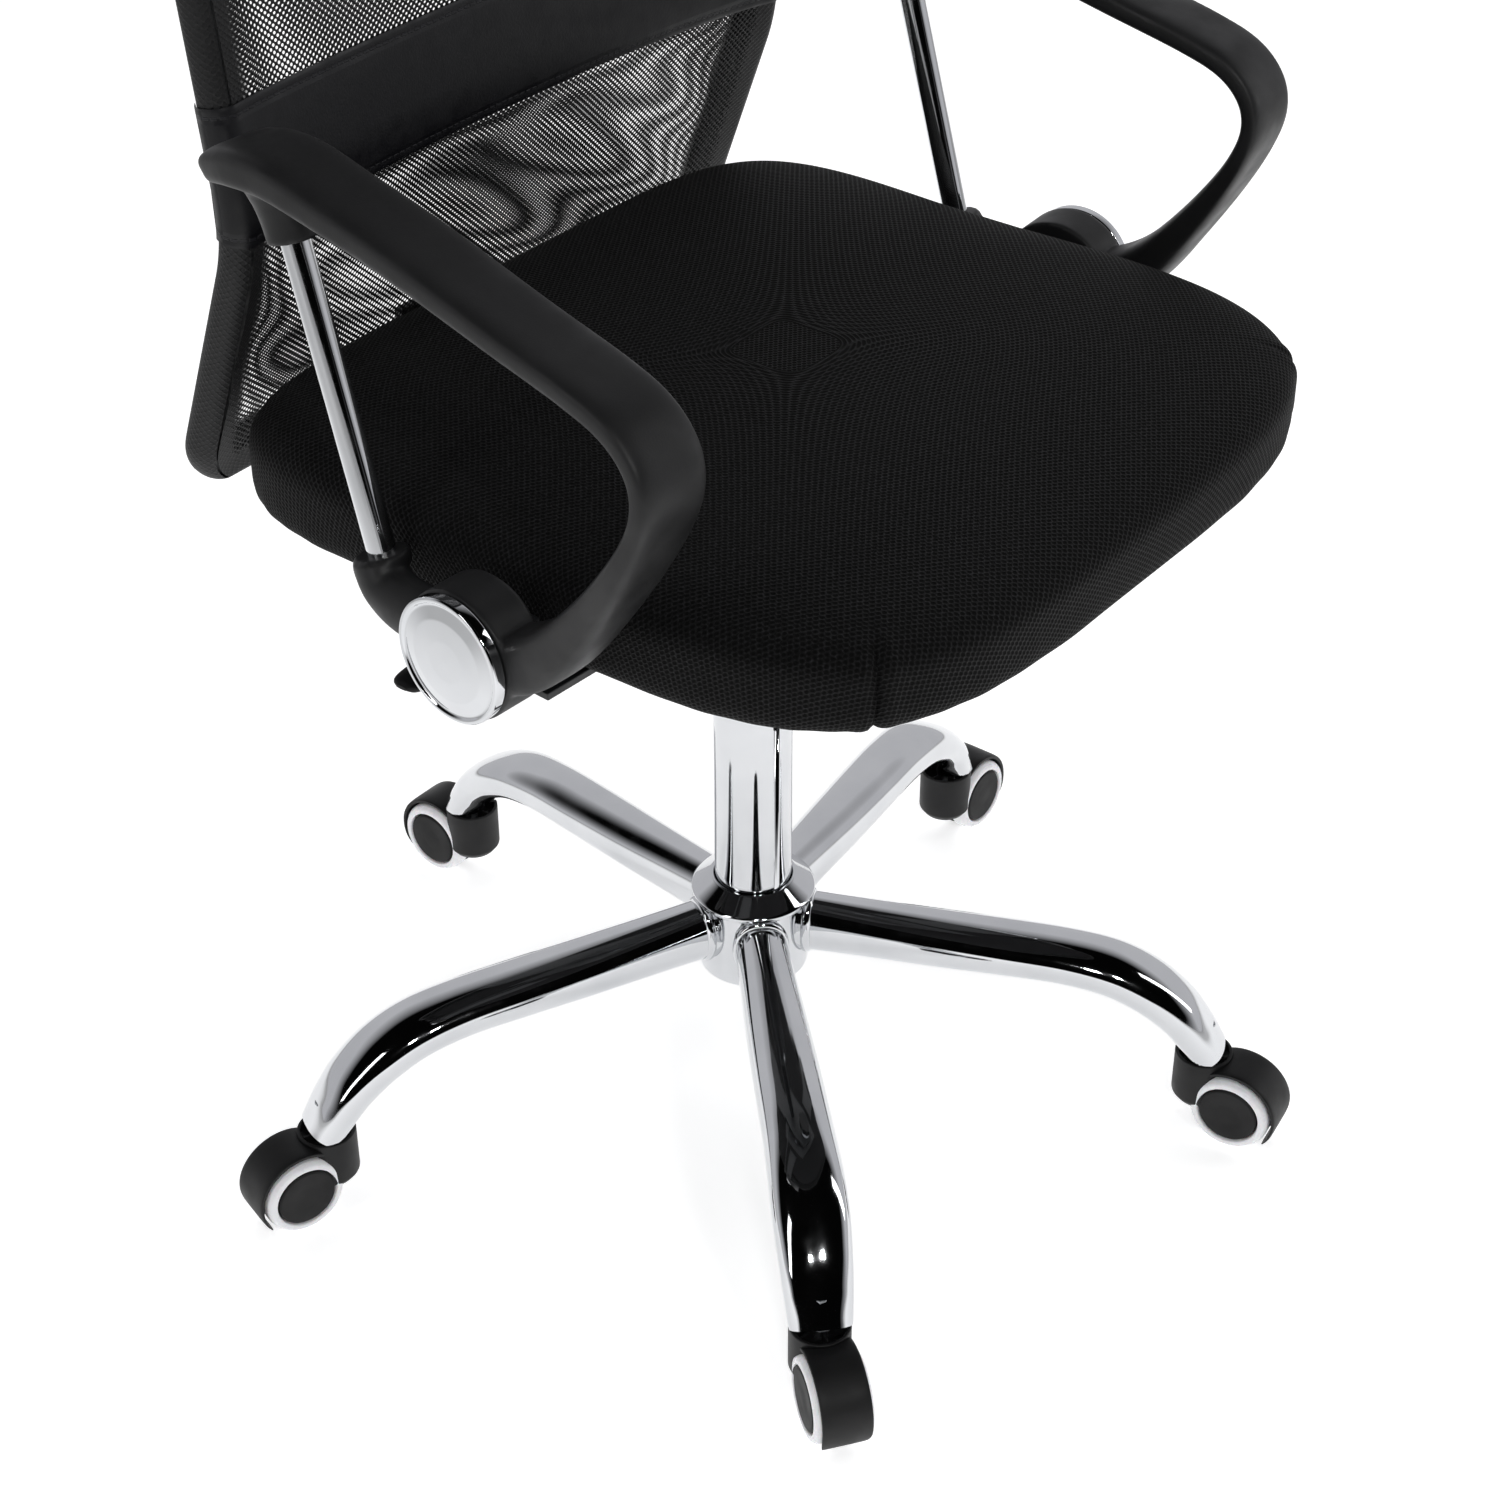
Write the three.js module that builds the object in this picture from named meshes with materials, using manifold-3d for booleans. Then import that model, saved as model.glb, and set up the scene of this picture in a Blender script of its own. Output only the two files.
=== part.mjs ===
// Swivel office chair: five-star base on twin-wheel casters, gas lift, tilt mechanism,
// padded seat, mesh back on a bent tube frame, and two loop armrests.
// Millimetres, +Z up, the floor at z = 0. The chair faces -Y, so its right side is at -X.

import * as THREE from "three";
import { mergeVertices } from "three/addons/utils/BufferGeometryUtils.js";
import Module from "manifold-3d";

const wasm = await Module();
wasm.setup();

const v2 = (x, y) => new THREE.Vector2(x, y);
const v3 = (x, y, z) => new THREE.Vector3(x, y, z);

// ---------- driving dimensions ----------

const FIT = 0.3; // air left between two pieces that touch or seat in each other
const RUN = 0.4; // radial running clearance of a turning pin
const ROUND = 20; // sides of a turned piece
const SMALL_ROUND = 10; // sides of a pin, a bore or another small round
const WHEEL_ROUND = 16; // sides of a wheel, its hood and the hood's cup

// Casters
const CASTERS = 5;
const CASTER_CIRCLE = 300; // radius of the stems round the column
const BASE_TURN = -134.7; // direction of the first base arm, degrees
const CASTER_HEADINGS = [-126, -81, 0, 90, 163]; // way each caster trails at rest, degrees
const TRAIL = 26; // stem to wheel axle
const TYRE_RADIUS = 27;
const CORE_RADIUS = 20;
const WHEEL_FACE = 18.4; // outer face of a wheel from the caster's middle plane
const TYRE_WIDTH = 13;
const TYRE_SHOULDER = v2(2.4, 4); // how far the outer edge is worked back, inwards and along
const CORE_DISH = 2; // how far the core's inner face falls back towards its rim
const PIN_RADIUS = 3;
const WEB_HALF = 3.2; // half thickness of the hood's middle web
const HOOD_HALF = 15.5; // half width of the hood's arch
const HOOD_WALL = 3.4;
const HOOD_ARCH = 118; // degrees of arch, from level behind the wheels up to the cup
const HOOD_TAIL = 10; // height of the arch's foot behind the wheels
const HOOD_LOWER = [26, 13, 9]; // height of the lower edge at the cup, the stem and the axle
const WHEEL_AIR = 1.4; // between tyre and arch
const CUP_RADIUS = 18.8;
const CUP_TOP = 59.6;
const CUP_FOOT = 21;
const CUP_DEPTH = 7.6;
const CUP_WALL = 2.4;
const STEM_RADIUS = 5.5;
const STEM_NECK_RADIUS = 5;
const STEM_SUNK = 4; // depth of the neck in the hood
const STEM_COLLAR_RADIUS = 9;
const STEM_COLLAR = 1.4;
const STEM_LENGTH = 21; // shank above the collar

// Column
const TUBE_RADIUS = 25;
const TUBE_WALL = 1.8;
const TUBE_BOTTOM = 94;
const TUBE_TOP = 302;
const TUBE_FLOOR = 3;
const CLIP_HOLE_RADIUS = 2.6;
const CLIP_HOLE_DROP = 10;
const CLIP_HOLE_TURN = -106; // degrees
const LIFT_RADIUS = 14; // gas cylinder
const LIFT_BOTTOM = 205;
const LIFT_STROKE = 100;
const ROD_RADIUS = 5;
const ROD_INTO_LIFT = 20;
const ROD_END = 5; // rod below the clip's top
const CLIP_RADIUS = 11;
const CLIP_THICK = 2.5;
const BUSH_LENGTH = 40;
const BUSH_SUNK = 0.6; // bush below the tube's top

// Base
const HUB_RADIUS = 33;
const HUB_FLARE = 3; // how far the skirt spreads at its foot
const HUB_BOTTOM = 97;
const HUB_HEIGHT = 54;
const ARM_HEIGHT = 130.5; // centre of the arms where they leave the hub
const ARM_WIDTHS = [33, 46, 40]; // at the hub, the shoulder and the mouth
const ARM_DEPTHS = [40, 31, 24];
const ARM_SHOULDER = CASTER_CIRCLE - 100; // radius up to which the arm is straight
const ARM_CURVE = 80; // degrees of the ellipse that the arm's end follows
const ARM_CURVE_REACH = 114; // half axes of that ellipse, outwards and down
const ARM_CURVE_DROP = 86.4;
const ARM_ROOT = TUBE_RADIUS + 2; // radius at which the arm starts inside the hub
const COVER_RADIUS = 40.5;
const COVER_LIP = 27.5;
const COVER_HEIGHT = 14.3;
const COVER_RIM = 3.6;

// Tilt mechanism
const HOUSING_HALF = 50;
const HOUSING_FRONT = -105;
const HOUSING_REAR = 55;
const HOUSING_BOTTOM = 426;
const HOUSING_HEIGHT = 26;
const SHEET = 2.5;
const SOCKET_WALL = 5;
const PIVOT_Y = -45;
const PIVOT_RISE = 32; // pivot above the housing's bottom
const PIVOT_RADIUS = 5;
const EAR_HALF = 15;
const EAR_RISE = 8;
const PLATE_HALF = 95;
const PLATE_FRONT = -120;
const PLATE_REAR = 70;
const PLATE = 3;
const FLANGE_HALF = 20;
const FLANGE_DROP = 12; // flange below the pivot
const BOLT_Y = -80;
const BOLT_RADIUS = 5;
const BOLT_SWING = 8; // forward travel of the bolt at the housing when the seat tilts
const SPRING_RADIUS = 17;
const SPRING_WIRE = 2;
const SPRING_LENGTH = 28;
const SPRING_TURNS = 4;
const KNOB_RADIUS = 27;
const KNOB_HEIGHT = 24;
const KNOB_LOBES = 8;
const KNOB_FLUTE = 3; // depth of the hollows between the lobes

// Height lever
const LEVER_Y = 22;
const LEVER_RISE = 14; // lever pin above the housing's bottom
const LEVER_PIN_X = -31;
const LEVER_PIN_RADIUS = 3;
const LEVER_EYE = 7;
const LEVER_RADIUS = 4;
const LEVER_SLOPE = 1.5; // degrees
const LEVER_REACH = 195; // pin to the end of the steel rod
const PADDLE_REACH = 252; // pin to the tip of the paddle
const PADDLE_LENGTH = 72;
const PADDLE = [[13, 13], [19, 9], [24, 7], [24, 7], [23, 7], [19, 6]]; // widths and thicknesses

// Seat
const SEAT_HALF = 250;
const SEAT_FRONT = -272;
const SEAT_REAR = 202;
const SEAT_MIDDLE = -25;
const SEAT_FRONT_POWER = 4.2; // higher is squarer
const SEAT_REAR_POWER = 6;
const PAN_THICK = 10;
const PAN_INSET = 26;
const HEM_RISE = 1.5; // cushion's underside above the pan's
const CUSHION_THICK = 75;
const CUSHION_POWER = 3.4; // squareness of the cushion's edge seen in section
const UNDER_POWER = 8; // the same for its lower half, which the cover pulls square
const PLATE_BOTTOM = 471.4;

// Back
const BACK_HALF = 226; // side tube centre lines
const BACK_TUBE = 9.5;
const BACK_FOOT = v2(227, 484.6); // y and z of the bottom rail
const BACK_KINK = v2(166, 648);
const BACK_HEAD = v2(226, 1146);
const BACK_FOOT_BEND = 26;
const BACK_HEAD_BEND = 70;
const KINK_ROUND = 60; // length of frame over which the lumbar bend is spread
const MESH_HALF_THICK = 8.5;
const MESH_AIR = 2;
const MESH_HEM = 20; // from the mesh's ends to the frame's end rails
const LUMBAR_BOTTOM = 173; // along the frame from the bottom rail
const LUMBAR_HEIGHT = 76;
const STRIP_THICK = 2.6;
const HEAD_PAD_BOTTOM = 510;
const HEAD_PAD_HEIGHT = 140;
const HEAD_PAD_THICK = 14;
const BRACKET_HALF = 45;
const BRACKET_THICK = 6;
const BRACKET_FRONT = 76;
const BRACKET_RISE = 28; // bracket above the bottom rail's centre
const BRACKET_BEND = 14;

// Armrests, drawn in a plane that is turned out a little from the chair's middle plane
const LOOP_X = 264.6;
const LOOP_Y = 60; // where the loop's plane is LOOP_X from the middle
const LOOP_TOE = 3.35; // degrees
const HUB_Y = -37;
const HUB_Z = 497;
const HUB_DISC = 37;
const HUB_INNER = -7;
const HUB_OUTER = 22;
const CAP_RADIUS = 36;
const CAP_THICK = 8;
const CAP_RIM = 3; // width of the cap's raised rim
const PAD_WIDTH = 46;
const REST_TUBE = 8;
const REST_FOOT = v2(40, 518); // y and z where the tube leaves the elbow
const REST_HEAD = v2(86, 684); // y and z where it enters the pad's socket
const REST_SUNK = 12; // tube inside each of its sockets
const SOCKET_RADIUS = 14.4;
const STAY_WIDTH = 70;
const STAY_THICK = 4.7;
const STAY_LENGTH = 140;
const STAY_RISE = 46;
const STAY_INSET = 8; // upright narrower than the flat bar on each edge

// ---------- materials ----------

const finish = (color, roughness, metalness) => () =>
  new THREE.MeshStandardMaterial({ color, roughness, metalness });
const chrome = finish(0xd8dadd, 0.06, 1);
const blackSteel = finish(0x17181a, 0.45, 0.6);
const zincSteel = finish(0xa9adb2, 0.35, 1);
const blackPlastic = finish(0x1d1d1f, 0.55, 0);
const armPlastic = finish(0x262628, 0.6, 0);
const paleTyre = finish(0xe3e3e7, 0.4, 0);
const seatFabric = finish(0x0c0c0d, 0.95, 0);
const meshFabric = finish(0x111113, 0.9, 0);
const blackLeather = finish(0x14151b, 0.5, 0);
const dustCover = finish(0x151516, 0.9, 0);

// ---------- helpers ----------

const radians = THREE.MathUtils.degToRad;
const lerp = THREE.MathUtils.lerp;

const chair = new THREE.Group();

function group(parent, x = 0, y = 0, z = 0, turn = 0) {
  const made = new THREE.Group();
  made.position.set(x, y, z);
  made.rotation.z = turn;
  parent.add(made);
  return made;
}

function add(parent, name, material, geometry) {
  const mesh = new THREE.Mesh(geometry, material());
  mesh.name = name;
  parent.add(mesh);
}

// A geometry with only merged positions, its faces pointing out.
function bare(geometry) {
  const positions = new THREE.BufferGeometry();
  positions.setAttribute("position", geometry.getAttribute("position").clone());
  if (geometry.index) positions.setIndex(geometry.index.clone());
  return mergeVertices(positions, 1e-4);
}

function solid(geometry) {
  const { attributes, index } = bare(geometry);
  return new wasm.Manifold(
    new wasm.Mesh({
      numProp: 3,
      vertProperties: new Float32Array(attributes.position.array),
      triVerts: new Uint32Array(index.array),
    }),
  );
}

function shape(manifold) {
  const { vertProperties, triVerts } = manifold.getMesh();
  const geometry = new THREE.BufferGeometry();
  geometry.setAttribute("position", new THREE.BufferAttribute(vertProperties, 3));
  geometry.setIndex(new THREE.BufferAttribute(triVerts, 1));
  const facets = geometry.toNonIndexed();
  facets.computeVertexNormals();
  return facets;
}

function cut(base, ...tools) {
  return shape(tools.reduce((left, tool) => left.subtract(solid(tool)), solid(base)));
}

function join(first, ...others) {
  return shape(others.reduce((sum, other) => sum.add(solid(other)), solid(first)));
}

// A solid of revolution about Z. The profile is [radius, z] pairs, run with the solid on its left.
function turned(profile, segments = ROUND) {
  const points = profile.map(([radius, z]) => v2(radius, z));
  return new THREE.LatheGeometry(points, segments).rotateX(Math.PI / 2);
}

function disc(radius, low, high, segments = ROUND) {
  return turned([[0, low], [radius, low], [radius, high], [0, high]], segments);
}

function ring(inner, outer, low, high, segments = ROUND) {
  const corners = [[inner, low], [outer, low], [outer, high], [inner, high], [inner, low]];
  return turned(corners, segments);
}

function block(x0, x1, y0, y1, z0, z1) {
  const made = new THREE.BoxGeometry(x1 - x0, y1 - y0, z1 - z0);
  return made.translate((x0 + x1) / 2, (y0 + y1) / 2, (z0 + z1) / 2);
}

// A plate with its outline in X and Z and its thickness along Y.
function sidePlate(outline, y0, y1) {
  const made = new THREE.ExtrudeGeometry(outline, {
    depth: y1 - y0,
    bevelEnabled: false,
    curveSegments: 9,
  });
  return made.rotateX(Math.PI / 2).translate(0, y1, 0);
}

// A closed skin over rings of points. place(ring, angle) gives a point, and the first and
// last rings close on their middles.
function skin(rings, around, place) {
  const made = new THREE.SphereGeometry(1, around, rings + 1);
  const at = made.getAttribute("position");
  const uv = made.getAttribute("uv");
  const middle = (ring) => place(ring, 0).clone().add(place(ring, Math.PI)).multiplyScalar(0.5);
  for (let i = 0; i < at.count; i++) {
    const row = Math.round((1 - uv.getY(i)) * (rings + 1));
    const angle = ((i % (around + 1)) % around) * ((2 * Math.PI) / around);
    let point;
    if (row === 0) point = middle(0);
    else if (row === rings + 1) point = middle(rings - 1);
    else point = place(row - 1, angle);
    at.setXYZ(i, point.x, point.y, point.z);
  }
  return outward(made);
}

function volume(geometry) {
  const at = geometry.getAttribute("position");
  const order = geometry.index.array;
  const corner = (i) => v3().fromBufferAttribute(at, order[i]);
  let sum = 0;
  for (let i = 0; i < order.length; i += 3) {
    sum += corner(i).dot(corner(i + 1).cross(corner(i + 2)));
  }
  return sum / 6;
}

function outward(geometry) {
  if (volume(geometry) > 0) return geometry;
  const order = geometry.index.array;
  for (let i = 0; i < order.length; i += 3) {
    [order[i + 1], order[i + 2]] = [order[i + 2], order[i + 1]];
  }
  return geometry;
}

// A tube along a path of {at, along} stations, with a rounded-rectangle section. across is
// the section's width direction, and power 2 is an ellipse.
function sweep(stations, around, across, power = 2) {
  const bend = (value) => Math.sign(value) * Math.abs(value) ** (2 / power);
  return skin(stations.length, around, (row, angle) => {
    const { at, along, width, depth } = stations[row];
    const up = along.clone().cross(across).normalize();
    return at
      .clone()
      .addScaledVector(across, (width / 2) * bend(Math.cos(angle)))
      .addScaledVector(up, (depth / 2) * bend(Math.sin(angle)));
  });
}

// Value at t, between numbers spread evenly over 0 to 1.
function graded(values, t) {
  const place = t * (values.length - 1);
  const low = Math.min(Math.floor(place), values.length - 2);
  return lerp(values[low], values[low + 1], place - low);
}

const superellipse = (angle, power) => [
  Math.sign(Math.cos(angle)) * Math.abs(Math.cos(angle)) ** (2 / power),
  Math.sign(Math.sin(angle)) * Math.abs(Math.sin(angle)) ** (2 / power),
];

// ---------- casters ----------

const cupFloor = CUP_TOP - CUP_DEPTH;
const archInner = TYRE_RADIUS + WHEEL_AIR;
const archOuter = archInner + HOOD_WALL;
const stemFoot = cupFloor - STEM_SUNK;
const collarBottom = CUP_TOP + FIT;
const mouthHeight = collarBottom + STEM_COLLAR + FIT; // the arms' mouths are cut at this height
const axle = v2(TRAIL, TYRE_RADIUS);

// The hood seen from the side: an arch round the wheels, run down to a tail behind them and
// to the cup in front.
function hoodOutline() {
  const tail = axle.x + archOuter - HOOD_WALL;
  const cupInside = -CUP_RADIUS + CUP_WALL;
  const outline = new THREE.Shape();
  outline.moveTo(tail - HOOD_WALL, HOOD_TAIL);
  outline.lineTo(tail, HOOD_TAIL);
  outline.lineTo(axle.x + archOuter, axle.y);
  outline.absarc(axle.x, axle.y, archOuter, 0, radians(HOOD_ARCH), false);
  outline.lineTo(0, cupFloor);
  outline.lineTo(cupInside, cupFloor);
  outline.lineTo(cupInside, HOOD_LOWER[0]);
  outline.lineTo(0, HOOD_LOWER[1]);
  outline.lineTo(axle.x, HOOD_LOWER[2]);
  return outline;
}

function wheelPocket(side) {
  const outerFace = HOOD_HALF + CUP_RADIUS;
  const [low, high] = side > 0 ? [WEB_HALF, outerFace] : [-outerFace, -WEB_HALF];
  return disc(archInner, low, high, WHEEL_ROUND)
    .rotateX(-Math.PI / 2)
    .translate(axle.x, 0, axle.y);
}

function casterHood() {
  const arch = sidePlate(hoodOutline(), -HOOD_HALF, HOOD_HALF);
  const cup = disc(CUP_RADIUS, CUP_FOOT, CUP_TOP, WHEEL_ROUND);
  const hollow = disc(CUP_RADIUS - CUP_WALL, cupFloor, CUP_TOP + 5, WHEEL_ROUND);
  const stemBore = disc(STEM_NECK_RADIUS + RUN, stemFoot - FIT, cupFloor + 1, SMALL_ROUND);
  const axleBore = disc(PIN_RADIUS + RUN, -HOOD_HALF, HOOD_HALF, SMALL_ROUND)
    .rotateX(-Math.PI / 2)
    .translate(axle.x, 0, axle.y);
  const body = join(arch, cup);
  return cut(body, hollow, stemBore, axleBore, wheelPocket(1), wheelPocket(-1));
}

// A wheel core about the axle's own Z. One core carries the steel pin, and the other is
// bored for it.
function wheelCore(withPin) {
  const inner = WEB_HALF + FIT * 2;
  const rim = CORE_RADIUS - FIT;
  const bore = PIN_RADIUS + FIT;
  if (!withPin) {
    const bored = [[bore, inner], [rim, inner + CORE_DISH], [rim, WHEEL_FACE], [bore, WHEEL_FACE]];
    return turned([...bored, bored[0]], WHEEL_ROUND);
  }
  const core = [[0, inner], [rim, inner + CORE_DISH], [rim, WHEEL_FACE], [0, WHEEL_FACE]];
  const pin = disc(PIN_RADIUS, -WHEEL_FACE + 1, inner + 1, SMALL_ROUND);
  return join(turned(core, WHEEL_ROUND), pin);
}

function tyre() {
  const inner = WHEEL_FACE - TYRE_WIDTH;
  return turned(
    [
      [CORE_RADIUS, inner],
      [TYRE_RADIUS, inner],
      [TYRE_RADIUS, WHEEL_FACE - TYRE_SHOULDER.y],
      [TYRE_RADIUS - TYRE_SHOULDER.x, WHEEL_FACE],
      [CORE_RADIUS, WHEEL_FACE],
      [CORE_RADIUS, inner],
    ],
    WHEEL_ROUND,
  );
}

function casterStem() {
  const top = collarBottom + STEM_COLLAR + STEM_LENGTH;
  return turned(
    [
      [0, stemFoot],
      [STEM_NECK_RADIUS, stemFoot],
      [STEM_NECK_RADIUS, collarBottom],
      [STEM_COLLAR_RADIUS, collarBottom],
      [STEM_COLLAR_RADIUS, collarBottom + STEM_COLLAR],
      [STEM_RADIUS, collarBottom + STEM_COLLAR],
      [STEM_RADIUS, top],
      [0, top],
    ],
    SMALL_ROUND,
  );
}

const armTurn = (number) => radians(BASE_TURN + (number * 360) / CASTERS);

function addCaster(number) {
  const turn = armTurn(number);
  const x = CASTER_CIRCLE * Math.cos(turn);
  const y = CASTER_CIRCLE * Math.sin(turn);
  const caster = group(chair, x, y, 0, radians(CASTER_HEADINGS[number]));
  const label = number + 1;
  add(caster, `caster_stem_${label}`, zincSteel, casterStem());
  add(caster, `caster_hood_${label}`, blackPlastic, casterHood());
  for (const [side, name] of [[1, "left"], [-1, "right"]]) {
    const wheel = group(caster, axle.x, 0, axle.y);
    wheel.rotation.x = (-side * Math.PI) / 2;
    add(wheel, `wheel_core_${name}_${label}`, blackPlastic, wheelCore(side > 0));
    add(wheel, `tyre_${name}_${label}`, paleTyre, tyre());
  }
}

// ---------- base and column ----------

// Centre line of a base arm in its own upright plane: straight, then a quarter of an ellipse.
function armCentre(t) {
  const straight = 0.5;
  if (t < straight) return v3(lerp(ARM_ROOT, ARM_SHOULDER, t / straight), 0, ARM_HEIGHT);
  const angle = ((t - straight) / (1 - straight)) * radians(ARM_CURVE);
  const drop = ARM_CURVE_DROP * (1 - Math.cos(angle));
  return v3(ARM_SHOULDER + ARM_CURVE_REACH * Math.sin(angle), 0, ARM_HEIGHT - drop);
}

function baseArm(turn) {
  const count = 11;
  const step = 1e-3;
  const stations = Array.from({ length: count }, (_, i) => {
    const t = i / (count - 1);
    return {
      at: armCentre(t),
      along: armCentre(t + step).sub(armCentre(t - step)).normalize(),
      width: graded(ARM_WIDTHS, t),
      depth: graded(ARM_DEPTHS, t),
    };
  });
  return sweep(stations, 10, v3(0, 1, 0), 2.3).rotateZ(turn);
}

function fiveStarBase() {
  const top = HUB_BOTTOM + HUB_HEIGHT;
  const hub = turned(
    [
      [0, HUB_BOTTOM],
      [HUB_RADIUS + HUB_FLARE, HUB_BOTTOM],
      [HUB_RADIUS, lerp(HUB_BOTTOM, top, 0.6)],
      [HUB_RADIUS, top],
      [0, top],
    ],
  );
  const turns = Array.from({ length: CASTERS }, (_, number) => armTurn(number));
  const columnBore = disc(TUBE_RADIUS + FIT, HUB_BOTTOM - 50, top + 50);
  const under = block(-400, 400, -400, 400, -10, mouthHeight);
  const stemBores = turns.map((turn) => {
    const depth = mouthHeight + STEM_LENGTH + 1;
    const bore = disc(STEM_RADIUS + FIT, 40, depth, SMALL_ROUND);
    return bore.translate(CASTER_CIRCLE * Math.cos(turn), CASTER_CIRCLE * Math.sin(turn), 0);
  });
  return cut(join(hub, ...turns.map(baseArm)), columnBore, under, ...stemBores);
}

function coverRing() {
  const low = HUB_BOTTOM + HUB_HEIGHT + FIT;
  const high = low + COVER_HEIGHT;
  const inner = TUBE_RADIUS + FIT;
  return turned(
    [
      [inner, low],
      [HUB_RADIUS + 1, low],
      [COVER_RADIUS - 1, low + COVER_RIM - 1.6],
      [COVER_RADIUS, low + COVER_RIM],
      [COVER_LIP + 0.6, high - 0.6],
      [COVER_LIP - 0.6, high],
      [inner, high],
      [inner, low],
    ],
  );
}

function columnTube() {
  const bore = TUBE_RADIUS - TUBE_WALL;
  const tube = turned(
    [
      [ROD_RADIUS + RUN, TUBE_BOTTOM],
      [TUBE_RADIUS, TUBE_BOTTOM],
      [TUBE_RADIUS, TUBE_TOP],
      [bore, TUBE_TOP],
      [bore, TUBE_BOTTOM + TUBE_FLOOR],
      [ROD_RADIUS + RUN, TUBE_BOTTOM + TUBE_FLOOR],
      [ROD_RADIUS + RUN, TUBE_BOTTOM],
    ],
  );
  const hole = disc(CLIP_HOLE_RADIUS, bore - 2, TUBE_RADIUS + 2, SMALL_ROUND).rotateY(Math.PI / 2);
  hole.rotateZ(radians(CLIP_HOLE_TURN)).translate(0, 0, TUBE_TOP - CLIP_HOLE_DROP);
  return cut(tube, hole);
}

function addBase() {
  const bore = TUBE_RADIUS - TUBE_WALL - FIT;
  const liftBore = LIFT_RADIUS + RUN;
  const rodTop = LIFT_BOTTOM + ROD_INTO_LIFT;
  const housingTop = HOUSING_BOTTOM + HOUSING_HEIGHT;
  add(chair, "five_star_base", chrome, fiveStarBase());
  add(chair, "hub_cover_ring", chrome, coverRing());
  add(chair, "column_tube", chrome, columnTube());
  const bush = ring(liftBore, bore, TUBE_TOP - BUSH_LENGTH, TUBE_TOP - BUSH_SUNK);
  add(chair, "column_bush", blackPlastic, bush);
  const clipTop = TUBE_BOTTOM - RUN;
  const clip = ring(ROD_RADIUS + FIT, CLIP_RADIUS, clipTop - CLIP_THICK, clipTop, SMALL_ROUND);
  add(chair, "retaining_clip", zincSteel, clip);
  add(chair, "piston_rod", zincSteel, disc(ROD_RADIUS, clipTop - ROD_END, rodTop, SMALL_ROUND));
  const cylinder = disc(LIFT_RADIUS, LIFT_BOTTOM, housingTop);
  const rodBore = disc(ROD_RADIUS + RUN, LIFT_BOTTOM - 5, rodTop + LIFT_STROKE + 10, SMALL_ROUND);
  add(chair, "gas_cylinder", blackSteel, cut(cylinder, rodBore));
}

// ---------- tilt mechanism ----------

const pivotZ = HOUSING_BOTTOM + PIVOT_RISE;

function pivotHole(radius) {
  return disc(radius, -HOUSING_HALF * 2, HOUSING_HALF * 2, SMALL_ROUND)
    .rotateY(Math.PI / 2)
    .translate(0, PIVOT_Y, pivotZ);
}

function tiltHousing() {
  const half = HOUSING_HALF;
  const top = HOUSING_BOTTOM + HOUSING_HEIGHT;
  const box = block(-half, half, HOUSING_FRONT, HOUSING_REAR, HOUSING_BOTTOM, top);
  const ears = [-1, 1].map((side) => {
    const x = side * (half - SHEET / 2);
    const [low, high] = [PIVOT_Y - EAR_HALF, PIVOT_Y + EAR_HALF];
    return block(x - SHEET / 2, x + SHEET / 2, low, high, top - 1, pivotZ + EAR_RISE);
  });
  const inside = block(
    -half + SHEET,
    half - SHEET,
    HOUSING_FRONT + SHEET,
    HOUSING_REAR - SHEET,
    HOUSING_BOTTOM + SHEET,
    top + 1,
  );
  const socket = disc(LIFT_RADIUS + FIT + SOCKET_WALL, HOUSING_BOTTOM + 1, top - 1);
  const socketBore = disc(LIFT_RADIUS + FIT, HOUSING_BOTTOM - 5, top + 5);
  const slot = block(
    -BOLT_RADIUS - 2,
    BOLT_RADIUS + 2,
    BOLT_Y - BOLT_RADIUS - BOLT_SWING,
    BOLT_Y + BOLT_RADIUS + 2,
    HOUSING_BOTTOM - 5,
    HOUSING_BOTTOM + SHEET + 5,
  );
  const leverHole = disc(LEVER_RADIUS + 2.5, -half - 5, -half + SHEET + 5, SMALL_ROUND)
    .rotateY(Math.PI / 2)
    .translate(0, LEVER_Y, HOUSING_BOTTOM + LEVER_RISE);
  const shell = solid(cut(join(box, ...ears), inside));
  const body = shell.add(solid(socket));
  return cut(shape(body), socketBore, slot, leverHole, pivotHole(PIVOT_RADIUS + RUN));
}

function seatPlate() {
  const plate = block(
    -PLATE_HALF,
    PLATE_HALF,
    PLATE_FRONT,
    PLATE_REAR,
    PLATE_BOTTOM,
    PLATE_BOTTOM + PLATE,
  );
  const flanges = [-1, 1].map((side) => {
    const inner = HOUSING_HALF + SHEET;
    const [x0, x1] = side > 0 ? [inner, inner + SHEET] : [-inner - SHEET, -inner];
    const [low, high] = [pivotZ - FLANGE_DROP, PLATE_BOTTOM + 1];
    return block(x0, x1, PIVOT_Y - FLANGE_HALF, PIVOT_Y + FLANGE_HALF, low, high);
  });
  const boltHole = disc(BOLT_RADIUS + RUN, PLATE_BOTTOM - 5, PLATE_BOTTOM + PLATE + 5, SMALL_ROUND);
  boltHole.translate(0, BOLT_Y, 0);
  return cut(join(plate, ...flanges), boltHole, pivotHole(PIVOT_RADIUS + FIT));
}

function pivotPin() {
  const head = HOUSING_HALF + SHEET * 2 + FIT;
  const pin = turned(
    [
      [0, -head - 3],
      [PIVOT_RADIUS + 3, -head - 3],
      [PIVOT_RADIUS + 3, -head],
      [PIVOT_RADIUS, -head],
      [PIVOT_RADIUS, head],
      [PIVOT_RADIUS + 3, head],
      [PIVOT_RADIUS + 3, head + 3],
      [0, head + 3],
    ],
    SMALL_ROUND,
  );
  return pin.rotateY(Math.PI / 2).translate(0, PIVOT_Y, pivotZ);
}

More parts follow.
